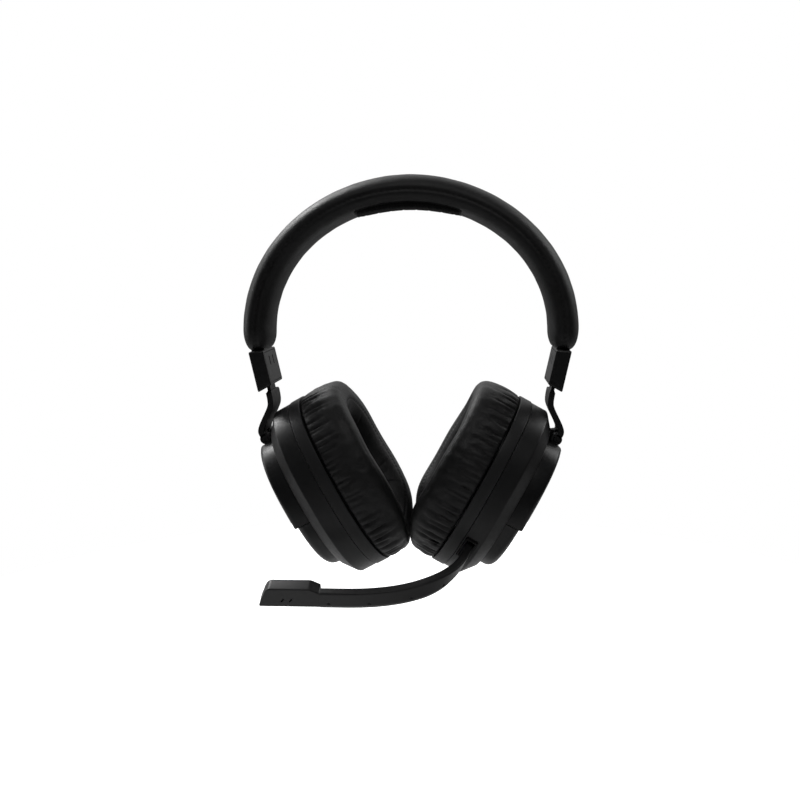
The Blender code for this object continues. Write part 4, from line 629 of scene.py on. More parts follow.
def makeMaterial(name):
    # Grain, edge wear, painted shade and dust laid over one another; a look's colour times the grain's tone
    look = plainLook | looks[name]
    mat = bpy.data.materials.new(name)
    mat.use_nodes = True
    tree = mat.node_tree
    tree.nodes.clear()
    place = addNode(tree, "ShaderNodeTexCoord").outputs["Object"]
    if look["grain"] == "weave":
        along, across = markOf(tree, "along"), markOf(tree, "across")
        grain = useGroup(tree, "weave", Along=along, Across=across, Pitch=look["size"])
        shine = grain["Opening"]
    else:
        grain = useGroup(tree, look["grain"], Place=place, Size=look["size"], Patch=look["patch"])
        shine = grain["Shine"]
    wear = useGroup(tree, "wear", Place=place, Radius=look["edge"], Amount=look["wear"])
    dust = useGroup(tree, "dust", Place=place, Amount=look["dust"])["Dust"]
    toned = mixColour(tree, 1.0, (*look["colour"], 1.0), grain["Tone"], "MULTIPLY")
    gain, lift = laidOver["worn"]
    wornColour = [min(1.0, c * gain + lift) for c in look["colour"]]
    worn = mixColour(tree, wear["Wear"], toned, (*wornColour, 1.0))
    # painted shade, as much as each piece marks per point
    sunk = mixColour(tree, markOf(tree, "paintedShade"), worn, laidOver["paintedShade"])
    if look["grain"] == "weave":
        # painted shade in the weave's low gaps
        sunk = mixColour(tree, grain["Opening"], sunk, laidOver["opening"])
    dusty = mixColour(tree, dust, sunk, laidOver["dust"])
    rough = plus(tree, times(tree, shine, look["vary"]), look["rough"] - look["vary"] / 2)
    rough = maths(tree, "SUBTRACT", rough, times(tree, wear["Wear"], laidOver["wornShine"]))
    rough = plus(tree, rough, times(tree, dust, laidOver["dustRough"]), True)
    relief = {"Height": grain["Height"], "Distance": look["depth"], "Strength": 1.0, "Normal": wear["Normal"]}
    shader = addNode(tree, "ShaderNodeBsdfPrincipled", {
        "Base Color": dusty,
        "Roughness": rough,
        "Normal": addNode(tree, "ShaderNodeBump", relief).outputs["Normal"],
        "Metallic": look["metal"],
        "Specular IOR Level": look["specular"],
    })
    addNode(tree, "ShaderNodeOutputMaterial", {"Surface": shader.outputs["BSDF"]})
    return mat


materials = {name: makeMaterial(name) for name in looks}

# The CAD pieces that stay in view, with the material each one wears
shownPairs = {
    "stop_pin": "bareSteel",
    "hinge_pin": "coatedSteel",
    "slider_cover": "satinPlastic",
    "slide_shoe": "nylon",
    "cushion_frame": "rimPlastic",
    "driver": "driverMetal",
    "speaker_grille": "grilleMetal",
}
shownNodes = {f"{name}_{word}": look for name, look in shownPairs.items() for word, _ in sides} | {
    "headband_spring": "bareSteel",
    "boom_pin": "bareSteel",
    "mic_element": "bareSteel",
    "usb_port": "bareSteel",
    "boom_socket": "socketPlastic",
    "mic_cover": "boomPlastic",
    "power_switch": "component",
    "mute_switch": "component",
    "volume_encoder": "component",
    "circuit_board": "board",
    "volume_wheel": "wheelRubber",
    "power_button": "keyPlastic",
    "mute_button": "keyPlastic",
    "status_light": "lightLens",
    "battery": "batteryFoil",
}
for name, look in shownNodes.items():
    for place in frame["nodes"][name].material_slots:
        place.material = materials[look]
print("materials", len(materials))


sleeve = {
    "around": 88,
    "along": 300,
    "crownSwell": 0.0006,
    "grooveWidth": 0.0008,
    "grooveDepth": 0.0006,
    "stitchPitch": 0.0028,
    "stitchHeight": 0.00028,
    "dents": 0.00009,  # height of the shallow waves, and how many radians of each there are per metre
    "dentWaves": (310, 171, 720),
    "quickShare": 0.35,  # the quickest wave's share of that height
    "crowding": 0.35,  # of points at the two seams
    "crownReach": 0.42,  # radians each way over which the crown swells
    "lip": 0.0007,  # the ends turn in by this, round the slider's collar
    "cavity": 0.0045,
    "recess": 0.0030,  # the crown pad's bed
    "meanRadius": 0.079,
}

crownPad = {
    "halfAngle": math.radians(21.5),
    "halfDepth": 0.0127,
    "stand": 0.0011,  # how far the middle stands out of the sleeve
    "sunk": 0.0016,  # how far its back sinks in
    "channels": 7,
    "channelDepth": 0.00025,
    "channelWidth": 0.06,
    "grid": (161, 61),
    "rimPower": (24, 6),  # how squarely the pillow's rim rounds over, along and across
    "piping": 0.00035,
}


def sleeveScale(angle):
    # The ends draw in along a rounded curve over the taper's length
    nearest = np.minimum(angle - band["endAngle"], math.pi - band["endAngle"] - angle)
    run = np.clip(nearest * band["rise"] / band["endTaper"], 0, 1)
    return band["endScale"] + (1 - band["endScale"]) * (1 - (1 - run) ** 2.2) ** 0.7


def makeSleeve():
    # An oval section, the cosine and sine of its turn raised to a power, carried over the head;
    # grooves and stitches are bell curves on its two seams, and the dents are products of sines
    v = sleeve
    first, last = band["endAngle"], math.pi - band["endAngle"]
    taper = band["endTaper"] / band["rise"]
    ends = first + taper * (1 - np.cos(np.linspace(0, math.pi / 2, 22)))
    middle = np.linspace(first + taper, last - taper, v["along"])[1:-1]
    angle = np.concatenate([ends, middle, (math.pi - ends)[::-1]])
    turn = fullTurn(v["around"])
    # points crowd round the two seams, at a quarter and three quarters of the way round
    turn = turn + v["crowding"] * np.sin(2 * turn) / 2
    scale = sleeveScale(angle)[:, None]
    halfUp = band["thickness"] / 2 * scale
    halfSide = band["depth"] / 2 * (0.4 + 0.6 * scale)
    power = 2 / band["power"]
    up = halfUp * signedPower(np.cos(turn), power)[None]
    side = halfSide * signedPower(np.sin(turn), power)[None]
    run = (angle * v["meanRadius"])[:, None]
    slow, slower, quick = v["dentWaves"]
    dent = np.sin(run * slow + 1.3) * np.sin(run * slower + 2 * turn[None]) * v["dents"]
    dent = dent + np.sin(run * quick + 3 * turn[None] + 0.7) * v["dents"] * v["quickShare"]
    onSeam = (np.abs(np.sin(turn)) > 0.7)[None]
    seam = hill(up, v["grooveWidth"]) * onSeam
    phase = np.abs((run / v["stitchPitch"]) % 1 - 0.5) * 2
    stitch = smoothStep((0.62 - phase) / 0.25) * hill(up, v["grooveWidth"] * 0.75)
    sink = v["grooveDepth"] * seam - v["stitchHeight"] * stitch * onSeam
    sink = sink * smoothStep((scale - band["endScale"]) / 0.3)
    up = up * (1 + dent / halfUp * 0.6)
    crown = hill(angle - math.pi / 2, v["crownReach"])[:, None]
    up = up + np.maximum(up, 0) / halfUp * v["crownSwell"] * crown
    side = side - np.sign(side) * sink
    # bed for the crown pad on the underside
    away = np.abs(angle - math.pi / 2)[:, None]
    under = smoothStep((crownPad["halfAngle"] - away) / 0.012) * (up < 0)
    under = under * smoothStep((crownPad["halfDepth"] - np.abs(side)) / 0.0012)
    up = up + under * v["recess"]
    body = bandPlace(angle[:, None], up, side)
    # painted shade along the seam grooves, left off the stitches; the turned-in ends get painted shade at
    # half strength
    paintedShade = seam * 0.9 * (1 - stitch)
    ends = []
    for index, sense in ((0, -1), (-1, 1)):
        # the end turns in over a lip and runs up round the slider's collar
        insets = np.array([0.0003, v["lip"], v["lip"] + 0.0002, v["lip"] + 0.0004])[:, None]
        drops = np.array([0.0003, 0.0002, -0.001, -v["cavity"]])[:, None] / band["rise"]
        ring = bandPlace(angle[index] + sense * drops + 0 * turn, up[index] * (1 - insets / halfUp[index]),
                         side[index] * (1 - insets / halfSide[index]))
        cap = np.broadcast_to(ring[-1:].mean(axis=1, keepdims=True), ring[-1:].shape)
        ends.append(np.concatenate([ring, cap]))
    points = np.concatenate([ends[0][::-1], body, ends[1]])
    faces = [gridFaces(len(points), v["around"], closeColumns=True)]
    shade = np.full(ends[0].shape[:2], 0.5)
    makeObject("sleeve_skin", points, faces, "leatherette", "headband", ["headband_sleeve"], angle=60,
               marks={"paintedShade": np.concatenate([shade, paintedShade, shade])})


def makeCrownPad():
    # A closed pillow: its sewn edge lies on the sleeve's own surface, its underside swells from
    # there to the pad's level by the rim's rounding, and its back sinks into the sleeve's bed
    v = crownPad
    rows, columns = v["grid"]
    a = np.linspace(-1, 1, rows)[:, None]
    b = np.linspace(-1, 1, columns)[None, :]
    alongPower, acrossPower = v["rimPower"]
    rim = np.sqrt(np.clip((1 - np.abs(a) ** alongPower) * (1 - np.abs(b) ** acrossPower), 0, 1))
    corner = 1 - 0.03 * (np.abs(a) ** 10) * (np.abs(b) ** 4)
    side = b * v["halfDepth"] * corner
    half, power = band["depth"] / 2, band["power"]
    sewn = -band["thickness"] / 2 * (1 - np.abs(side / half) ** power) ** (1 / power)
    level = -band["thickness"] / 2 - v["stand"] * (1 - np.abs(a) ** 3)
    panels = v["channels"] + 1
    lines = hill((a * panels / 2 + 0.5 * (panels % 2)) % 1 - 0.5, v["channelWidth"]) * (np.abs(a) < 0.93)
    under = sewn + (level - sewn) * rim - 0.0001 * rim
    under = under + v["channelDepth"] * lines * smoothStep(rim * 1.6 - 0.6)
    over = sewn + v["sunk"] * rim
    angle = math.pi / 2 - a * v["halfAngle"] * corner
    skins = [bandPlace(angle, lift, side) for lift in (under, over)]
    count = rows * columns
    faces = [gridFaces(rows, columns), gridFaces(rows, columns, start=count)[:, ::-1]]
    along = np.broadcast_to(a * v["halfAngle"] * 0.066, (rows, columns))
    across = np.broadcast_to(b * v["halfDepth"], (rows, columns))
    points = np.concatenate([skin.reshape(-1, 3) for skin in skins])
    marks = {"along": np.tile(along.ravel(), 2), "across": np.tile(across.ravel(), 2)}
    # painted shade along the channels of the underside
    marks["paintedShade"] = np.concatenate([(lines * 0.6 * np.ones((rows, columns))).ravel(), np.zeros(count)])
    pad = makeObject("crown_cushion", points, faces, "crownFabric", "headband", ["crown_pad"], 80, marks)
    edge = np.concatenate([skins[0][:, 0], skins[0][-1, 1:], skins[0][-2::-1, -1], skins[0][0, -2:0:-1]])
    makePiping("crown_piping", evenly(edge, 320, closed=True), v["piping"], "headband")


def makePiping(name, path, radius, body):
    # A round bead along a closed path: a circle carried across the path's direction
    along = unit(np.roll(path, -1, axis=0) - np.roll(path, 1, axis=0))
    out = unit(path - path.mean(axis=0))
    first = unit(np.cross(along, out))
    second = np.cross(along, first)
    turn = fullTurn(10)
    ring = first[:, None] * np.cos(turn)[None, :, None] + second[:, None] * np.sin(turn)[None, :, None]
    twist = 1 + 0.06 * np.sin(np.arange(len(path)) * 2 * math.pi / 5)[:, None, None]
    points = path[:, None] + ring * radius * twist
    faces = [gridFaces(len(path), 10, closeRows=True, closeColumns=True)]
    makeObject(name, points, faces, "pipingLeather", body, angle=80)


makeSleeve()
makeCrownPad()
print("headband")


def makeSliderBlock(word, side):
    # A rectangle on the slide's inner face raised through the thickness, its top and bottom sloped
    # in proportion to the depth; a shallow bed takes the inner cover
    v = slider
    half, reach = v["thickness"] / 2, v["depth"] / 2

    def rectangle(aside, low, high):
        # Four corners: the same distance to each side, low and high
        return np.array([(aside, low), (aside, high), (-aside, high), (-aside, low)])

    def place(points):
        # Outline across the depth and up the slide, raised through the thickness
        return slidePlace(-points[:, 2], points[:, 0], points[:, 1], side)

    def placeSloped(points):
        # The same, with heights growing in proportion to the way through the thickness
        up = points[:, 1]
        share = (half - points[:, 2]) / (2 * half)
        tall = np.where(up > 0, up / v["top"] * v["topRise"], up / v["bottom"] * v["bottomDrop"])
        return slidePlace(-points[:, 2], points[:, 0], up + share * tall, side)

    bed = roundCorners(rectangle(*v["bed"]), 0.0003, 2)
    block = rectangle(reach, -v["bottom"], v["top"])
    points, faces, loops = roundedSlab(block, -half, half, (v["edgeRound"],) * 2, placeSloped,
                                       corner=v["cornerRound"], holes=[bed], holeDepth=v["bedDepth"])
    inner, outer, deep, tall = v["neck"]
    neck = rectangle(deep, v["top"] - 0.001, v["top"] + tall)
    more, moreFaces, _ = roundedSlab(neck, -outer, -inner, (0.0004,) * 2, place, corner=0.0008, steps=2)
    faces += [np.array(group) + len(points) for group in moreFaces]
    whole = np.concatenate([points, more])
    made = makeObject(f"slider_block_{word}", whole, faces, "satinPlastic", "headband",
                      [f"slider_housing_{word}"])
    fillLoops(made, whole, loops)


for word, side in sides:
    makeSliderBlock(word, side)

arm = {
    "thickness": 0.0031,
    "depth": 0.0225,
    "tongueWidth": 0.014,
    "tongueThickness": 0.0018,
    "tongueMiddle": -0.0002,
    "tongueTop": 0.0241,
    "shoulder": -0.0135,
    "waist": (0.0004, -0.0065),  # top of the bend, from the tongue's middle and the shoulder
    "bulge": (0.0016, 0.0042),  # its outermost place, from the tilt axis
    "bends": (  # how firmly each of the three curves leaves and arrives, with its steps
        ((-0.001, -0.009), (0.0022, -0.0075), 24),
        ((0.003, -0.01), (0.001, -0.0095), 24),
        ((0.0004, -0.0035), (-0.003, -0.004), 14),
    ),
    "bendStart": 0.0035,  # how far over the shoulder the first curve starts, inside the tongue
    "slotRadius": 0.0014,
    "slotLow": 0.0005,
    "slotHigh": 0.0205,
    "knuckle": 0.0031,
    "bore": 0.0018,
    "fork": 0.00455,  # half width of the fork's gap
    "forkReach": 0.0043,
    "edge": 0.00045,
}


def armCentreline():
    # Down from the tongue, in, then out to the tilt axis: three cubics end to end
    x, z = pivot[0] - slider["centre"][0], pivot[2] - slider["centre"][1]
    axis = np.array([x * slideCos - z * slideSin, x * slideSin + z * slideCos])
    middle, low = arm["tongueMiddle"], arm["shoulder"]
    top = np.array([middle, low + arm["bendStart"]])
    waist = np.array([middle, low]) + arm["waist"]
    ends = [top, waist, axis + arm["bulge"], axis]
    line = [top[None]]
    for start, end, (leave, arrive, steps) in zip(ends, ends[1:], arm["bends"]):
        line.append(hermite(start, np.array(leave), end, np.array(arrive), steps)[1:])
    line = np.concatenate(line)
    return line[line[:, 1] < low + 0.001], axis


def makeArm(word, side):
    # Two matching skins either side of the centreline; cells of the slot and the fork are left out
    v = arm
    line, axis = armCentreline()
    r = v["slotRadius"]
    tongueUps = np.concatenate([
        np.linspace(v["tongueTop"], v["slotHigh"] + r + 0.0003, 3), [v["slotHigh"]],
        np.linspace(v["slotHigh"], v["slotLow"], 8)[1:-1], [v["slotLow"]],
        np.linspace(v["slotLow"] - r - 0.0003, v["shoulder"] + 0.0012, 8),
    ])
    tongue = np.stack([np.full(tongueUps.shape, v["tongueMiddle"]), tongueUps], axis=-1)
    path = np.concatenate([tongue, line])
    slope = unit(np.gradient(path, axis=0))
    normal = np.stack([-slope[:, 1], slope[:, 0]], axis=-1)
    share = smoothStep((v["shoulder"] + 0.0012 - path[:, 1]) / 0.0009)[:, None]
    half = v["tongueThickness"] / 2 + (v["thickness"] - v["tongueThickness"]) / 2 * share
    width = v["tongueWidth"] / 2 + (v["depth"] - v["tongueWidth"]) / 2 * share
    slot = np.linspace(-r, r, 9)
    shares = np.array([0, 0.4, 0.8, 1])
    start = np.concatenate([[-v["fork"]] * 4, slot, [v["fork"]] * 4])
    spread = np.concatenate([shares[::-1], 0 * slot, shares])
    y = start + np.sign(start) * spread * (width - v["fork"])
    lift = np.zeros_like(y)
    inSlot = np.abs(start) <= r
    bow = np.sqrt(np.maximum(r * r - start**2, 0))
    lift[np.isclose(path[:, 1], v["slotHigh"])] = np.where(inSlot, bow, 0)
    lift[np.isclose(path[:, 1], v["slotLow"]) & (path[:, 0] == v["tongueMiddle"])] = np.where(inSlot, -bow, 0)
    skins = []
    for sense in (1, -1):
        face = path + sense * normal * half
        skins.append(slidePlace(face[:, :1] + 0 * y, y, face[:, 1:] + lift, side))
    rowMid = (path[1:, 1] + path[:-1, 1]) / 2
    columnMid = (start[1:] + start[:-1]) / 2 + (spread[1:] + spread[:-1]) * np.sign(start[1:]) * 0.001
    reach = np.linalg.norm((path[1:] + path[:-1]) / 2 - axis, axis=1)
    inSlotRow = (rowMid < v["slotHigh"]) & (rowMid > v["slotLow"])
    inForkRow = (reach < v["forkReach"]) & (rowMid < v["shoulder"])
    keep = ~inSlotRow[:, None] | (np.abs(columnMid) > r)[None]
    keep &= ~inForkRow[:, None] | (np.abs(columnMid) > v["fork"])[None]
    points, faces = twoSkins(skins[0], skins[1], keep, wrap=False)
    across, up, depth, barrelFaces = tube(v["bore"], v["knuckle"], v["fork"], v["depth"] / 2)
    for sense in (1, -1):
        faces.append(barrelFaces + len(points))
        barrel = slidePlace(axis[0] + across, sense * depth, axis[1] + up, side)
        points = np.concatenate([points, barrel.reshape(-1, 3)])
    made = makeObject(f"arm_strip_{word}", points, faces, "coatedSteel", f"arm_{word}", [f"arm_{word}"])
    bevel = made.modifiers.new("edge", "BEVEL")
    bevel.width = v["edge"]
    bevel.segments = 3
    bevel.limit_method = "ANGLE"
    bevel.angle_limit = math.radians(40)


for word, side in sides:
    makeArm(word, side)
print("sliders and arms")

shells = {
    "around": 384,
    "overhang": 0.0004,
    "rimDepth": 0.0069,
    "rimLip": 0.003,  # the rim's width over the cushion's seam
    "rimWall": 0.002,
    "dish": (0.012, 0.03),  # where the dished plate behind the rim starts and ends
    "wallRows": (0.0084, 0.0096, 0.0120, 0.0144),  # the openings' edges bend the second and the last
    "wallOut": 0.0166,
    "floorOut": 0.0224,
    "dropUp": 0.0070,  # the wide bevel's run in from the wall, up the cup and along its depth
    "dropSide": 0.0050,
    "floorEnd": (0.022, 0.020),  # last ring of the floor before its middle
    "thickness": 0.0020,
    "innerEase": (0.0008, 0.0012),  # how much sooner the inner skin's wall ends and its floor starts
    "openingEase": 0.0016,  # how far beside an opening the wall's rows bend back
    "openingLow": 0.0092,  # the first row too gives way to an opening that reaches below this
    "cornerRound": 0.00055,
    "plateSetInUp": 0.0108,
    "plateSetInSide": 0.0058,
    "plateOut": 0.0320,
    "coverOut": 0.0307,
    "plateRound": 0.0022,
    "coverRound": 0.0042,
    "split": -0.0080,
    "notchHalf": 0.01185,
    "notchLow": 0.0368,
    "lugHalf": 0.00395,
    "lugRadius": 0.0030,
}

# Openings in the microphone cup's wall: place, length each way along the wall, and the span across it
openings = {
    "boomSocket": {"up": -0.0310, "sense": -1, "back": 0.0085, "ahead": 0.0059, "span": (0.0080, 0.0146)},
    "wheel": {"up": 0.004, "sense": 1, "back": 0.0078, "ahead": 0.0078, "span": (0.0092, 0.0148)},
    "muteKey": {"up": -0.012, "sense": 1, "back": 0.0048, "ahead": 0.0048, "span": (0.0097, 0.0143)},
    "powerKey": {"up": -0.025, "sense": 1, "back": 0.0048, "ahead": 0.0048, "span": (0.0097, 0.0143)},
    "port": {"y": 0.012, "sense": -1, "back": 0.0050, "ahead": 0.0050, "span": (0.00985, 0.01415)},
    "light": {"y": 0.023, "sense": -1, "back": 0.0014, "ahead": 0.0014, "span": (0.0106, 0.0134)},
}


def ovalRings(rows, angle, side):
    # rows hold an inset up the cup, an inset along its depth and a distance out
    power = 2 / cup["squareness"]
    y = (cup["halfDepth"] - rows[..., 1]) * signedPower(np.cos(angle), power)
    up = (cup["halfHeight"] - rows[..., 0]) * signedPower(np.sin(angle), power)
    return cupPlace(rows[..., 2] + 0 * y, y, up, side)


def makeRim(word, side):
    # A band round the cup closed over behind by a dished plate: a profile carried round the oval
    v = shells
    over, deep, low = -v["overhang"], v["rimDepth"], cup["gap"]
    thick = v["rimWall"]
    inset = np.array([over + v["rimLip"], over, over, over + thick, over + thick])
    corners = stacked(inset, inset, np.array([low, low, deep, deep, low + thick]))
    inner = np.array([(at, at, low + thick + 0.0001) for at in v["dish"]])
    rows = np.concatenate([roundCorners(corners, 0.0004, 4, closed=False), inner])[:, None]
    points = ovalRings(rows, ovalAngles(v["around"])[0][None], side)
    faces = [gridFaces(len(rows), v["around"], closeColumns=True)]
    makeObject(f"rim_ring_{word}", points, faces, "rimPlastic", f"cup_{word}", [f"baffle_{word}"])


def wallColumns():
    # Angles evenly spaced round the wall, the nearest ones moved onto the openings' ends
    angle, fine, run = ovalAngles(shells["around"])
    length = np.interp(angle, fine, run)
    spans = {}
    for name, hole in openings.items():
        middle = wallFrame(hole.get("up"), hole.get("y"), hole["sense"])[2]
        at = np.interp(middle, fine, run)
        ends = [at - hole["back"], at + hole["ahead"]]
        for end in ends:
            length[np.abs(length - end).argmin()] = end
        spans[name] = ends
    return np.interp(length, run, fine), length, spans


def makeHousing(word, side):
    # Wall, wide bevel and flat floor as an outer and an inner skin; where an opening sits, the two
    # rows beside it bend to its edges and the cells between are left out
    v = shells
    angle, length, spans = wallColumns()
    holes = openings if side > 0 else {}
    t, start, wall, floor = v["thickness"], v["rimDepth"] + cup["gap"], v["wallOut"], v["floorOut"]
    up, aside = v["dropUp"], v["dropSide"]
    outerCorners = np.array([(0, 0, start), (0, 0, wall), (up, aside, floor), (*v["floorEnd"], floor)])
    sooner, ease = v["innerEase"]
    innerCorners = np.array([(t, t, start), (t, t, wall - sooner), (up + ease, aside + ease, floor - t),
                             (*v["floorEnd"], floor - t)])
    skins = []
    for corners in (outerCorners, innerCorners):
        line = roundCorners(corners, v["cornerRound"], 5, closed=False)
        support = line[1] - np.array([0, 0, 0.0005])
        straight = np.array([(line[0, 0], line[0, 1], out) for out in v["wallRows"]])
        inward = line[-2] + (line[-1] - line[-2]) * 0.03
        rows = np.concatenate([line[:1], straight, [support], line[1:-1], [inward], line[-1:]])
        rows = np.repeat(rows[:, None], len(angle), axis=1)
        for name, hole in holes.items():
            first, last = spans[name]
            beside = np.maximum(np.maximum(first - length, length - last), 0)
            near = smoothStep(1 - beside / v["openingEase"])
            for row, edge in ((2, hole["span"][0]), (4, hole["span"][1])):
                rows[row, :, 2] += near * (edge - v["wallRows"][row - 1])
            rows[1, :, 2] -= near * max(0.0, v["openingLow"] - hole["span"][0])
        skins.append(ovalRings(rows, angle[None], side))
    for k, out in enumerate((floor, floor - t)):
        middle = np.broadcast_to(cupPlace(np.array(out), 0.0, 0.0, side), (1, len(angle), 3))
        skins[k] = np.concatenate([skins[k], middle])
    keep = np.ones((len(skins[0]) - 1, len(angle)), bool)
    after = np.roll(length, -1)
    half = (length + after) / 2
    for name in holes:
        first, last = spans[name]
        keep[2:4] &= ~((half > first) & (half < last) & (np.abs(after - length) < 0.005))
    points, faces = twoSkins(skins[0], skins[1], keep, wrap=True)
    lug, lugFaces = makeLug(side)
    faces = faces + [group + len(points) for group in lugFaces]
    makeObject(f"housing_shell_{word}", np.concatenate([points, lug]), faces, "cupPlastic",
               f"cup_{word}", [f"housing_{word}"], angle=32)


def makeLug(side):
    # A bar with a round head about the tilt axis, drawn from the side and rounded over
    v = shells
    r, low = v["lugRadius"], v["floorOut"] - 0.0012
    turn = np.linspace(-math.pi / 2, math.pi / 2, 25)
    head = np.stack([cup["pivotOut"] + r * np.cos(turn), cup["pivotUp"] + r * np.sin(turn)], axis=-1)
    loop = np.concatenate([[[low, cup["pivotUp"] - r]], head, [[low, cup["pivotUp"] + r * 0.8]]])
    half = v["lugHalf"]

    def place(points):
        # Outline out and up the cup, raised along the cup's depth
        return cupPlace(points[:, 0], points[:, 2], points[:, 1], side)

    points, faces, _ = roundedSlab(loop, -half, half, (0.0003, 0.0003), place, steps=2)
    return points, [np.array(group) for group in faces]


def plateLoops():
    # Outlines of the outer plate, with its notch for the knuckle, and of the cover under it
    v = shells
    h, d = cup["halfHeight"] - v["plateSetInUp"], cup["halfDepth"] - v["plateSetInSide"]
    fine = np.linspace(-math.pi / 2, math.pi * 1.5, 8001)
    y, up = ovalPoint(fine, h, d)
    line = np.stack([y, up], axis=-1)
    backSide = evenly(line[(y > v["notchHalf"]) & (up > v["split"])], 110)
    frontSide = evenly(line[(y < -v["notchHalf"]) & (up > v["split"])], 110)
    notch = np.array([(v["notchHalf"], v["notchLow"]), (-v["notchHalf"], v["notchLow"])])
    plate = np.concatenate([backSide, notch, frontSide])
    plateWeights = np.ones(len(plate))
    plateWeights[len(backSide) - 1 : len(backSide) + 2] = 0.12
    plateWeights[-1] = 0.12
    low = v["split"] - cup["gap"]
    firstHalf = line[(fine < math.pi / 2) & (up < low)]
    lastHalf = line[(fine > math.pi / 2) & (up < low)]
    cover = evenly(np.concatenate([lastHalf, firstHalf]), 200)
    coverWeights = np.ones(len(cover))
    coverWeights[-1] = 0.08
    return (plate, plateWeights), (cover, coverWeights)


def makePlates(word, side):
    # The two outlines raised from the floor, their outer rims rounded over
    v = shells
    low = v["floorOut"] - 0.0005  # their backs sink into the floor, so that no light shows behind them

    def place(points):
        # Outline along the cup's depth and up the cup, raised outwards
        return cupPlace(points[:, 2], points[:, 0], points[:, 1], side)

    plate, cover = plateLoops()
    for name, replaced, (loop, weights), out, radius, look in (
        ("outer_cover", "outer_plate", plate, v["plateOut"], v["plateRound"], "platePlastic"),
        ("lower_shell", "lower_cover", cover, v["coverOut"], v["coverRound"], "cupPlastic"),
    ):
        points, faces, _ = roundedSlab(loop, low, out, (0.0003, radius), place, weights, steps=7)
        makeObject(f"{name}_{word}", points, faces, look, f"cup_{word}", [f"{replaced}_{word}"], angle=40)


for word, side in sides:
    makeRim(word, side)
    makeHousing(word, side)
    makePlates(word, side)
print("cup shells")

cushion = {
    "around": 144,  # grid that is simulated; the finished one is three times finer each way
    "across": 22,
    "finer": 3,
    "width": 0.0207,
    "crestInset": 0.0092,
    "crestOut": 0.0243,
    "soft": 0.0015,  # how gently the crest gives way to the other cushion
    "bulge": 0.0017,
    "backOut": 0.0003,
    "meeting": 0.00025,  # half the gap left between the two cushions where they meet
    "meetingSoft": 0.0004,
    "cloth": {"mass": 0.002, "stretch": 5.0, "shear": 2.5, "bend": 0.02, "pressure": 4.0,
              "quality": 8, "frames": 20},
    "surplus": 0.011,  # leather longer than the form it covers, by this share
    "travel": 0.0006,  # furthest the cloth may move
    "squareness": (2.5, 2.3),  # exponents of the section, up and across
    "meetingSlope": 0.82,  # share of the toe-in by which the plane between the cushions leans
    "meetingGap": 0.0012,
    "pleats": 74,
    "pleatScatter": 0.33,  # of the distance between two pleats
    "pleatDepth": 0.0014,
    "pleatStrength": (0.45, 1.0),  # each pleat's own share of the depth, lean, reach and width
    "pleatLean": 0.0035,
    "pleatReach": (0.12, 0.33),
    "pleatWidth": (0.0005, 0.0007),
    "pleatSpread": 2.2,  # growth of a pleat's width over the panel
    "swell": 0.00035,  # fullness between the pleats
    "swellWidth": 0.0022,
    "plump": (0.00035, 0.00025),
    "creases": 16,  # on the side facing the opening
    "creaseDepth": (0.00012, 0.00038),
    "creaseWidth": (0.0006, 0.0012),
    "creasePlace": (0.74, 0.9),
    "creaseLean": 0.03,
    "creaseReach": 0.09,
    "edgeSink": (0.0007, 0.0009),  # depth of the two sewn edges
    "edgeWidth": (0.012, 0.02),  # share of the way over the panel, as the seam's two are
    "panelSeam": 0.60,  # share of the way from the rim's seam to the opening's
    "seamDepth": 0.0006,
    "seamWidth": (0.011, 0.007),  # of the groove and of its stitches
    "stitchPitch": 0.0031,
}


def cushionStart(shrink):
    # A half-round section from the rim's seam over the crest to the opening's seam, carried round
    # the cup; the crest follows the lower of its full height and the plane where the cushions meet
    v = cushion
    angle = ovalAngles(v["around"])[0][:, None]
    t = np.linspace(0, 1, v["across"])[None]
    up = cup["halfHeight"] * signedPower(np.sin(angle), 2 / cup["squareness"])
    centre = pivot[0] - cup["pivotOut"] * toeCos - cup["pivotUp"] * toeSin
    limit = (centre - v["meetingGap"] + up * v["meetingSlope"] * toeSin) / toeCos
    crest = v["crestOut"] - v["soft"] * np.log1p(np.exp((v["crestOut"] - limit) / v["soft"]))
    turn = math.pi * t
    rise = np.sin(turn) ** (2 / v["squareness"][0])
    out = -(v["backOut"] + (crest - v["backOut"]) * rise * shrink)
    sway = (v["crestInset"] - v["width"] / 2) * np.sin(turn) ** 2
    inset = v["width"] / 2 * (1 - signedPower(np.cos(turn), 2 / v["squareness"][1])) + sway
    inset = inset - v["bulge"] * np.sin(turn) ** 2 * (t < 0.5)
    return ovalRings(stacked(inset, inset, out), angle, 1)


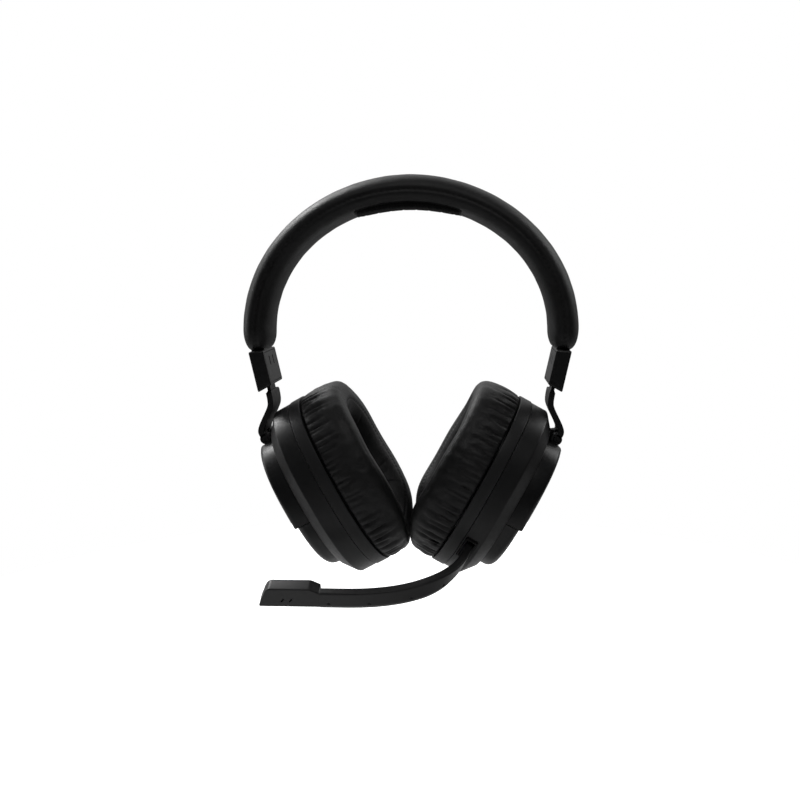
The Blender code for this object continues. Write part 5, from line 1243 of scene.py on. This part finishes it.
def puffed(points):
    # The panel is blown up like cloth between its two sewn edges, with its travel capped
    rows, columns = points.shape[:2]
    mesh = bpy.data.meshes.new("panelCloth")
    mesh.from_pydata(points.reshape(-1, 3).tolist(), [], gridFaces(rows, columns, closeRows=True).tolist())
    obj = bpy.data.objects.new("panelCloth", mesh)
    bpy.context.scene.collection.objects.link(obj)
    sewn = obj.vertex_groups.new(name="sewn")
    index = np.arange(rows * columns).reshape(rows, columns)
    sewn.add(index[:, [0, -1]].ravel().tolist(), 1.0, "REPLACE")
    v = cushion["cloth"]
    cloth = obj.modifiers.new("cloth", "CLOTH").settings
    cloth.vertex_group_mass = "sewn"
    cloth.use_pressure = True
    cloth.uniform_pressure_force = v["pressure"]
    cloth.effector_weights.gravity = 0.0
    cloth.mass = v["mass"]
    cloth.shrink_min = -cushion["surplus"]
    cloth.tension_stiffness = v["stretch"]
    cloth.compression_stiffness = v["stretch"]
    cloth.shear_stiffness = v["shear"]
    cloth.bending_stiffness = v["bend"]
    cloth.quality = v["quality"]
    scene = bpy.context.scene
    for step in range(v["frames"]):
        scene.frame_set(step + 1)
    result = obj.evaluated_get(bpy.context.evaluated_depsgraph_get()).to_mesh()
    moved = np.zeros(rows * columns * 3)
    result.vertices.foreach_get("co", moved)
    scene.frame_set(1)
    bpy.data.objects.remove(obj)
    moved = moved.reshape(rows, columns, 3) - points
    far = np.linalg.norm(moved, axis=-1, keepdims=True)
    print("cloth moved at most", round(float(far.max()) * 1000, 2), "mm")
    # from the crest to the opening the leather is stretched flatter over its foam
    t = np.linspace(0, 1, columns)[None, :, None]
    held = np.minimum(1, cushion["travel"] / np.maximum(far, 1e-9))
    return points + moved * held * (1 - 0.9 * smoothStep((t - 0.3) / 0.2))


def finerGrid(points, finer):
    # Catmull-Rom curves through the points, round the ring and then across it
    def refine(values, axis, closed):
        # Each stretch is a cubic in t whose coefficients are sums of the four points about it
        values = np.moveaxis(values, axis, 0)
        count = len(values)
        steps = np.arange(count * finer) / finer
        if not closed:
            steps = np.linspace(0, count - 1, (count - 1) * finer + 1)
        base = np.minimum(np.floor(steps).astype(int), count - 1)
        t = (steps - base).reshape((-1,) + (1,) * (values.ndim - 1))
        ids = [(base + k) % count if closed else np.clip(base + k, 0, count - 1) for k in (-1, 0, 1, 2)]
        p0, p1, p2, p3 = (values[i] for i in ids)
        curved = (2 * p0 - 5 * p1 + 4 * p2 - p3) * t**2 + (3 * p1 - p0 - 3 * p2 + p3) * t**3
        return np.moveaxis(0.5 * (2 * p1 + (p2 - p0) * t + curved), 0, axis)

    return refine(refine(points, 0, True), 1, False)


def surfaceNormals(points):
    # Cross product of the grid's two directions, turned away from the ring's middle line
    ahead = np.roll(points, -1, axis=0) - np.roll(points, 1, axis=0)
    normal = unit(np.cross(ahead, np.gradient(points, axis=1)))
    middle = points[:, [0, -1]].mean(axis=1, keepdims=True)
    flip = np.sum(normal * (points - middle), axis=-1, keepdims=True).mean()
    return normal if flip > 0 else -normal


def sewnDetail(points, seed):
    # Pleats run in from the rim's seam as narrow grooves that fade towards the crest; the panel's
    # seam is a groove with raised stitches; soft creases cross the inner side
    v = cushion
    rng = np.random.default_rng(seed)
    rows, columns = points.shape[:2]
    step = np.linalg.norm(np.roll(points, -1, axis=0) - points, axis=-1)
    run = np.concatenate([np.zeros((1, columns)), np.cumsum(step, axis=0)[:-1]])
    length = step.sum(axis=0)[0]
    s = run[:, :1] * length / max(run[-1, 0] + step[-1, 0], 1e-9)
    t = np.linspace(0, 1, columns)[None]
    angle = np.arange(rows)[:, None] * 2 * math.pi / rows

    def awayFrom(centre):
        # Signed distance round the ring, the shorter way
        return (s - centre + length / 2) % length - length / 2

    sink = np.zeros((rows, columns))
    ends = 0.85 + 0.15 * np.abs(np.sin(angle)) ** 1.5 + 0.35 * smoothStep(-np.sin(angle) * 1.5)
    scatter = rng.uniform(-v["pleatScatter"], v["pleatScatter"], v["pleats"])
    centres = (np.arange(v["pleats"]) + scatter) * length / v["pleats"]
    for centre in centres:
        away = awayFrom(centre)
        lean = rng.uniform(-v["pleatLean"], v["pleatLean"])
        reach = rng.uniform(*v["pleatReach"])
        depth = rng.uniform(*v["pleatStrength"]) * v["pleatDepth"]
        width = rng.uniform(*v["pleatWidth"]) * (1 + v["pleatSpread"] * t)
        fade = smoothStep(t / 0.03) * smoothStep((reach - t) / reach)
        sink += depth * hill(away - lean * t, width) * fade
    sink *= ends
    swell = np.zeros((rows, columns))
    for centre in centres[::2]:
        away = awayFrom(centre + rng.uniform(0.001, 0.003))
        fade = smoothStep(t / 0.1) * smoothStep((0.5 - t) / 0.4)
        swell += v["swell"] * hill(away, v["swellWidth"]) * fade
    for _ in range(v["creases"]):
        away = awayFrom(rng.uniform(0, length))
        at = rng.uniform(*v["creasePlace"])
        lean = rng.uniform(-v["creaseLean"], v["creaseLean"])
        depth = rng.uniform(*v["creaseDepth"])
        width = rng.uniform(*v["creaseWidth"])
        sink += depth * hill(away - lean * (t - at), width) * hill(t - at, v["creaseReach"])
    first, last = v["edgeSink"]
    sink += first * hill(t, v["edgeWidth"][0]) + last * hill(1 - t, v["edgeWidth"][1])
    phase = np.abs((s / v["stitchPitch"]) % 1 - 0.5) * 2
    line, thread = (hill(t - v["panelSeam"], width) for width in v["seamWidth"])
    stitch = smoothStep((0.66 - phase) / 0.2) * thread
    sink += v["seamDepth"] * line - v["seamDepth"] * 0.8 * stitch
    broad, small = v["plump"]
    plump = (broad * np.sin(angle * 3 + seed) + small * np.sin(angle * 7 + 2 * seed)) * np.sin(math.pi * t)
    # painted shade as deep as each place sinks, left off the stitches
    paintedShade = np.clip(sink / v["pleatDepth"], 0, 1) * 0.75 * (1 - stitch)
    return points - surfaceNormals(points) * (sink - swell - plump)[..., None], paintedShade


def makeCushion(word, side, panel, seed):
    # The sewn panel flattened where it meets the other one and closed behind by straight lines
    # between its two seams
    v = cushion
    points, paintedShade = sewnDetail(finerGrid(panel, v["finer"]), seed)
    points[..., 0] = meetingPlane(points[..., 0])
    points = points * np.array([side, 1, 1])
    t = np.linspace(0, 1, 5)[1:-1]
    first, last = points[:, :1], points[:, -1:]
    back = last * (1 - t)[None, :, None] + first * t[None, :, None]
    whole = np.concatenate([points, back], axis=1)
    # the closed back gets painted shade too
    marks = np.concatenate([paintedShade, np.ones(back.shape[:2]) * 0.6], axis=1)
    faces = [gridFaces(*whole.shape[:2], closeRows=True, closeColumns=True)]
    made = makeObject(f"ear_pad_{word}", whole, faces, "leatherette", f"cup_{word}",
                      [f"ear_cushion_{word}"], angle=75, marks={"paintedShade": marks})
    anchor = cupPlace(np.array(0.0), 0.0, 0.0, side)
    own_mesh(made)


def meetingPlane(x):
    # Soft maximum of the distance from the middle and half the gap: the leather flattens there
    v = cushion
    away = (x - v["meeting"]) / v["meetingSoft"]
    return v["meeting"] + v["meetingSoft"] * np.where(away > 30, away, np.log1p(np.exp(np.minimum(away, 30))))


panel = cushionStart(0.95)
panel = puffed(panel)
for word, side, seed in (("left", 1, 3), ("right", -1, 11)):
    makeCushion(word, side, panel, seed)
print("ear cushions")

boom = {
    "rootUp": -0.0310,
    "out": 0.0113,
    "sink": 0.0010,
    "thickness": 0.0046,
    "rootThickness": 0.0040,
    "width": 0.0102,
    "rootWidth": 0.0076,
    "rootRun": 0.040,
    "forward": 0.0375,
    "sideways": 0.060,
    "pull": (1.85, 1.66),  # how firmly the bend leaves the socket and arrives at its end
    "straight": (0.002, 0.004),  # run out of the socket before the bend
    "rings": 330,
    "cornerRound": 0.00022,
    "fill": (4, 2, 1, 6, 1, 2, 1, 26),  # more points on the section's eight edges
    "fall": math.radians(25.5),
    "tipX": -0.0415,
    "small": 0.0006,
    "broad": 0.0021,
    "strip": 0.0009,
    "dimplesX": (-0.037, -0.017, 0.003, 0.018),
    "dimpleRadius": 0.0007,
    "dimpleDepth": 0.00045,
    "dimpleDrop": 0.0016,
    "hubRadius": 0.0040,
    "hubBore": 0.0012,
}

mic = {
    "length": 0.0310,
    "height": 0.0118,
    "thickness": 0.0076,
    "lean": 0.0060,
    "shoulder": 0.0046,
    "rise": 0.0009,
    "tipCurve": ((0.08, 0.16), (0.45, 0.62), (0.70, 0.88)),  # shares of the lean and of the height
    "element": (0.0165, 0.0002),
    "slotAside": 0.0021,
    "slotHalf": (0.0004, 0.0014),
    "slotLean": math.radians(38),
    "cornerRound": 0.0009,
    "edgeRound": 0.0009,
    "slotDepth": 0.0012,
}


def boomFrame():
    # The swing axis's place, the wall's normal there, and the ribbon's three directions
    point, normal, _ = wallFrame(up=boom["rootUp"], sense=-1)
    hub = np.array([boom["out"], point[1], point[2]]) - normal * boom["sink"]
    fall = boom["fall"]
    sideways = intoCup((-1, 0, 0))
    forward = intoCup((0, -math.cos(fall), -math.sin(fall)))
    upright = intoCup((0, -math.sin(fall), math.cos(fall)))
    return hub, normal, sideways, forward, upright


def boomPath():
    # Straight out of the socket, a cubic bend to the mouth, then straight to the microphone
    hub, normal, sideways, forward, _ = boomFrame()
    end = hub + sideways * boom["sideways"] + forward * boom["forward"]
    leave = normal * boom["pull"][0] * boom["forward"]
    arrive = sideways * boom["pull"][1] * boom["sideways"]
    near, far = boom["straight"]
    bend = hermite(hub + normal * far, leave, end, arrive, 300)
    tip = end + sideways * (cupPoints(end)[0] - boom["tipX"])
    line = np.concatenate([[hub, hub + normal * near], bend, [tip - sideways * 0.00003]])
    return evenly(line, boom["rings"]), tip


def makeBoom():
    # An eight-cornered section grows and turns upright along the path; round dimples are sunk in
    # its front as hills of depth
    v = boom
    path = boomPath()[0]
    hub, normal, _, _, upright = boomFrame()
    along = unit(np.gradient(path, axis=0))
    run = runAlong(path)
    share = smoothStep(run / v["rootRun"])[:, None]
    rootUp = unit(np.cross(np.array([1.0, 0, 0]), normal))
    rootUp = rootUp if rootUp[2] > 0 else -rootUp
    stand = rootUp * (1 - share) + upright * share
    front = unit(np.cross(stand, along))
    stand = unit(np.cross(along, front))
    a = (v["rootThickness"] + (v["thickness"] - v["rootThickness"]) * share[:, 0]) / 2
    b = (v["rootWidth"] + (v["width"] - v["rootWidth"]) * share[:, 0]) / 2
    small, broad, strip = v["small"], v["broad"], v["strip"]
    corners = np.stack([
        stacked(a, broad - b), stacked(a - strip, -b), stacked(small - a, -b), stacked(-a, small - b),
        stacked(-a, b - small), stacked(small - a, b), stacked(a - small, b), stacked(a, b - small),
    ], axis=1)
    section = roundCorners(corners, v["cornerRound"], 3, fill=v["fill"])
    points = path[:, None] + front[:, None] * section[..., :1] + stand[:, None] * section[..., 1:]
    onFront = smoothStep((section[..., 0] - (a[:, None] - 0.0002)) / 0.0001)
    middleX = cupPoints(path)[:, 0]
    sink = np.zeros(section.shape[:2])
    for x in v["dimplesX"]:
        at = run[np.argmin(np.abs(middleX - x) + (run < 0.02))]
        away = np.hypot(run[:, None] - at, section[..., 1] + v["dimpleDrop"])
        sink += v["dimpleDepth"] * smoothStep((v["dimpleRadius"] + 0.0002 - away) / 0.0003)
    points = points - front[:, None] * (sink * onFront)[..., None]
    caps = []
    for k, sense in ((0, -1), (-1, 1)):
        centre = points[k].mean(axis=0)
        drawnIn = points[k] * 0.94 + centre * 0.06 + sense * along[k] * 0.0002
        caps.append([np.broadcast_to(centre, drawnIn.shape), drawnIn])
    whole = np.concatenate([caps[0], points, caps[1][::-1]])
    rows, columns = whole.shape[:2]
    # painted shade in the dimples, as deep as each one sinks
    paintedShade = np.pad(sink / v["dimpleDepth"] * 0.8, ((2, 2), (0, 0))).ravel()
    # the hub is a disc on the swing axis, its rims bevelled as a tube's
    half = v["rootThickness"] / 2
    y, up, out, hubFaces = tube(v["hubBore"], v["hubRadius"], -half, half)
    disc = stacked(hub[0] + out, hub[1] + y, hub[2] + up).reshape(-1, 3)
    placed = cupPoints(np.concatenate([whole.reshape(-1, 3), disc]))
    faces = [gridFaces(rows, columns, closeColumns=True), hubFaces + rows * columns]
    makeObject("boom_ribbon", placed, faces, "boomPlastic", "boom", ["boom_arm"], angle=28,
               marks={"paintedShade": np.concatenate([paintedShade, np.zeros(len(disc))])})


def micPlace(points):
    # X towards the tip, Y up and Z to the wearer, from the ribbon's end
    _, tip = boomPath()
    _, _, sideways, _, upright = boomFrame()
    behind = np.cross(sideways, upright)
    at = tip + points[:, :1] * sideways + points[:, 1:2] * upright - points[:, 2:3] * behind
    return cupPoints(at)


def makeMicHousing():
    # A flat outline with rounded corners, thickened and rounded over, with two slanted slots
    v = mic
    low = v["rise"] - boom["width"] / 2
    high = low + v["height"]
    length, lean = v["length"], v["lean"]
    curve = [(length - lean * back, low + v["height"] * up) for back, up in v["tipCurve"]]
    corners = np.array([(0.0, low), (length, low), *curve, (length - lean, high), (v["shoulder"], high),
                        (0.0, boom["width"] / 2)])
    weights = np.array([1, 1, 1, 1, 1, 1, 1, 0.02])
    rounding = v["cornerRound"] * np.array([0.03, 1, 1, 1, 1, 1, 1, 0.03])
    face = boom["thickness"] / 2
    w, h = v["slotHalf"]
    turn = np.linspace(0, 2 * math.pi, 20, endpoint=False)
    x, y = w * np.cos(turn), w * np.sin(turn) + np.sign(np.sin(turn) + 1e-9) * (h - w)
    c, s = math.cos(v["slotLean"]), math.sin(v["slotLean"])
    holes = [
        stacked(v["element"][0] + aside + x * c - y * s, v["element"][1] + x * s + y * c)
        for aside in (-v["slotAside"], v["slotAside"])
    ]
    rims = (v["edgeRound"], v["edgeRound"] * 0.7)
    points, faces, loops = roundedSlab(corners, face - v["thickness"], face, rims, micPlace, weights,
                                       corner=rounding, holes=holes, holeDepth=v["slotDepth"])
    made = makeObject("mic_shell", points, faces, "boomPlastic", "boom", ["mic_housing"])
    fillLoops(made, points, loops)


makeBoom()
makeMicHousing()
print("boom and microphone")

room = {
    "floorGap": 0.06,  # room under the cups for their arms drawn out and the cups hanging straight
    "floorRadius": 0.36,
    "floorGrid": (5, 64),
    "view": {"place": (0.03383, -0.54424, -0.03421), "yaw": 4.16, "pitch": 7.19, "roll": -0.5, "lens": 45.0},
    "lamps": [
        # name, place, aimed at, width, height, watts
        ("top", (-0.60, 0.42, 0.66), (0, 0, -0.08), 0.45, 0.45, 9.0),
        ("left", (-0.85, 0.15, 0.15), (0, 0, -0.1), 0.4, 0.8, 2.2),
        ("right", (0.80, 0.30, 0.45), (0, 0, -0.1), 0.4, 0.6, 2.4),
        ("front", (0.1, -1.0, 0.9), (0, 0, -0.1), 0.6, 0.5, 4.0),
    ],
}


def makeFloor():
    # A wide disc below the lowest point, white to the camera away from the object's shadow
    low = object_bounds()[0]
    rings, around = room["floorGrid"]
    radii = np.linspace(0, room["floorRadius"], rings)[:, None]
    turn = fullTurn(around)[None]
    level = np.full((rings, around), low[2] - room["floorGap"])
    points = stacked(radii * np.cos(turn), radii * np.sin(turn), level)
    # the middle is one face in place of the first ring's slivers
    faces = gridFaces(rings, around, closeColumns=True)[around:].tolist() + [list(range(around, 2 * around))]
    mesh = bpy.data.meshes.new("floor")
    mesh.from_pydata(points.reshape(-1, 3).tolist(), [], faces)
    floor = bpy.data.objects.new("floor", mesh)
    bpy.context.scene.collection.objects.link(floor)
    mat = bpy.data.materials.new("paleFloor")
    mat.use_nodes = True
    tree = mat.node_tree
    tree.nodes.clear()
    place = addNode(tree, "ShaderNodeTexCoord").outputs["Object"]
    far = addNode(tree, "ShaderNodeVectorMath", {0: place}, operation="LENGTH").outputs["Value"]
    fleck = noiseOf(tree, place, 30.0)["Fac"]
    tone = rangeOf(tree, fleck, 0.3, 0.7, 0.79, 0.81)
    camera = addNode(tree, "ShaderNodeLightPath").outputs["Is Camera Ray"]
    glow = times(tree, rangeOf(tree, far, 0.1, 0.26, 0.72, 1.0), camera)
    white = {"Base Color": tone, "Roughness": 0.9, "Emission Strength": glow, "Emission Color": (1, 1, 1, 1)}
    shader = addNode(tree, "ShaderNodeBsdfPrincipled", white)
    addNode(tree, "ShaderNodeOutputMaterial", {"Surface": shader.outputs["BSDF"]})
    mesh.materials.append(mat)


def makeWorld():
    # White to the camera; a broad sky for reflections, bright above and beside, dark in front
    world = bpy.data.worlds.new("studio")
    bpy.context.scene.world = world
    world.use_nodes = True
    tree = world.node_tree
    tree.nodes.clear()
    path = addNode(tree, "ShaderNodeLightPath").outputs
    direction = addNode(tree, "ShaderNodeTexCoord").outputs["Generated"]
    parts = addNode(tree, "ShaderNodeSeparateXYZ", {"Vector": direction}).outputs
    behind = rangeOf(tree, parts["Y"], -0.1, 0.75, 0.04, 0.95)
    above = rangeOf(tree, parts["Z"], -0.2, 0.8, 0.2, 1.0)
    sky = times(tree, behind, above)
    mirrored = maths(tree, "MAXIMUM", path["Is Glossy Ray"], path["Is Transmission Ray"])
    plain = times(tree, maths(tree, "SUBTRACT", 1.0, mirrored), 0.12)
    seen = plus(tree, times(tree, mirrored, sky), plain)
    strength = maths(tree, "MAXIMUM", seen, path["Is Camera Ray"])
    shader = addNode(tree, "ShaderNodeBackground", {"Color": (1, 1, 1, 1), "Strength": strength})
    addNode(tree, "ShaderNodeOutputWorld", {"Surface": shader.outputs[0]})


def makeLamps():
    # Each lamp is a soft rectangle turned to face its aim
    for name, place, aim, width, height, watts in room["lamps"]:
        data = bpy.data.lights.new(name, "AREA")
        data.shape = "RECTANGLE"
        data.size, data.size_y, data.energy = width, height, watts
        lamp = bpy.data.objects.new(name, data)
        lamp.location = place
        direction = Vector(aim) - Vector(place)
        lamp.rotation_euler = direction.to_track_quat("-Z", "Y").to_euler()
        bpy.context.scene.collection.objects.link(lamp)


def makeCamera():
    # Yaw, pitch and roll as a matrix of right, up and back
    v = room["view"]
    yaw, pitch, roll = (math.radians(v[k]) for k in ("yaw", "pitch", "roll"))
    ahead = np.array([-math.sin(yaw) * math.cos(pitch), math.cos(yaw) * math.cos(pitch), -math.sin(pitch)])
    right = np.array([math.cos(yaw), math.sin(yaw), 0.0])
    up = np.cross(right, ahead)
    turnedRight = right * math.cos(roll) + up * math.sin(roll)
    turnedUp = up * math.cos(roll) - right * math.sin(roll)
    matrix = np.eye(4)
    matrix[:3, 0], matrix[:3, 1], matrix[:3, 2], matrix[:3, 3] = turnedRight, turnedUp, -ahead, v["place"]
    data = bpy.data.cameras.new("view")
    data.lens, data.sensor_width = v["lens"], 36.0
    data.clip_start, data.clip_end = 0.01, 50.0
    camera = bpy.data.objects.new("view", data)
    camera.matrix_world = Matrix(matrix.tolist())
    bpy.context.scene.collection.objects.link(camera)
    bpy.context.scene.camera = camera


makeFloor()
makeWorld()
makeLamps()
makeCamera()
bpy.context.scene.view_settings.view_transform = "Standard"
print("room")
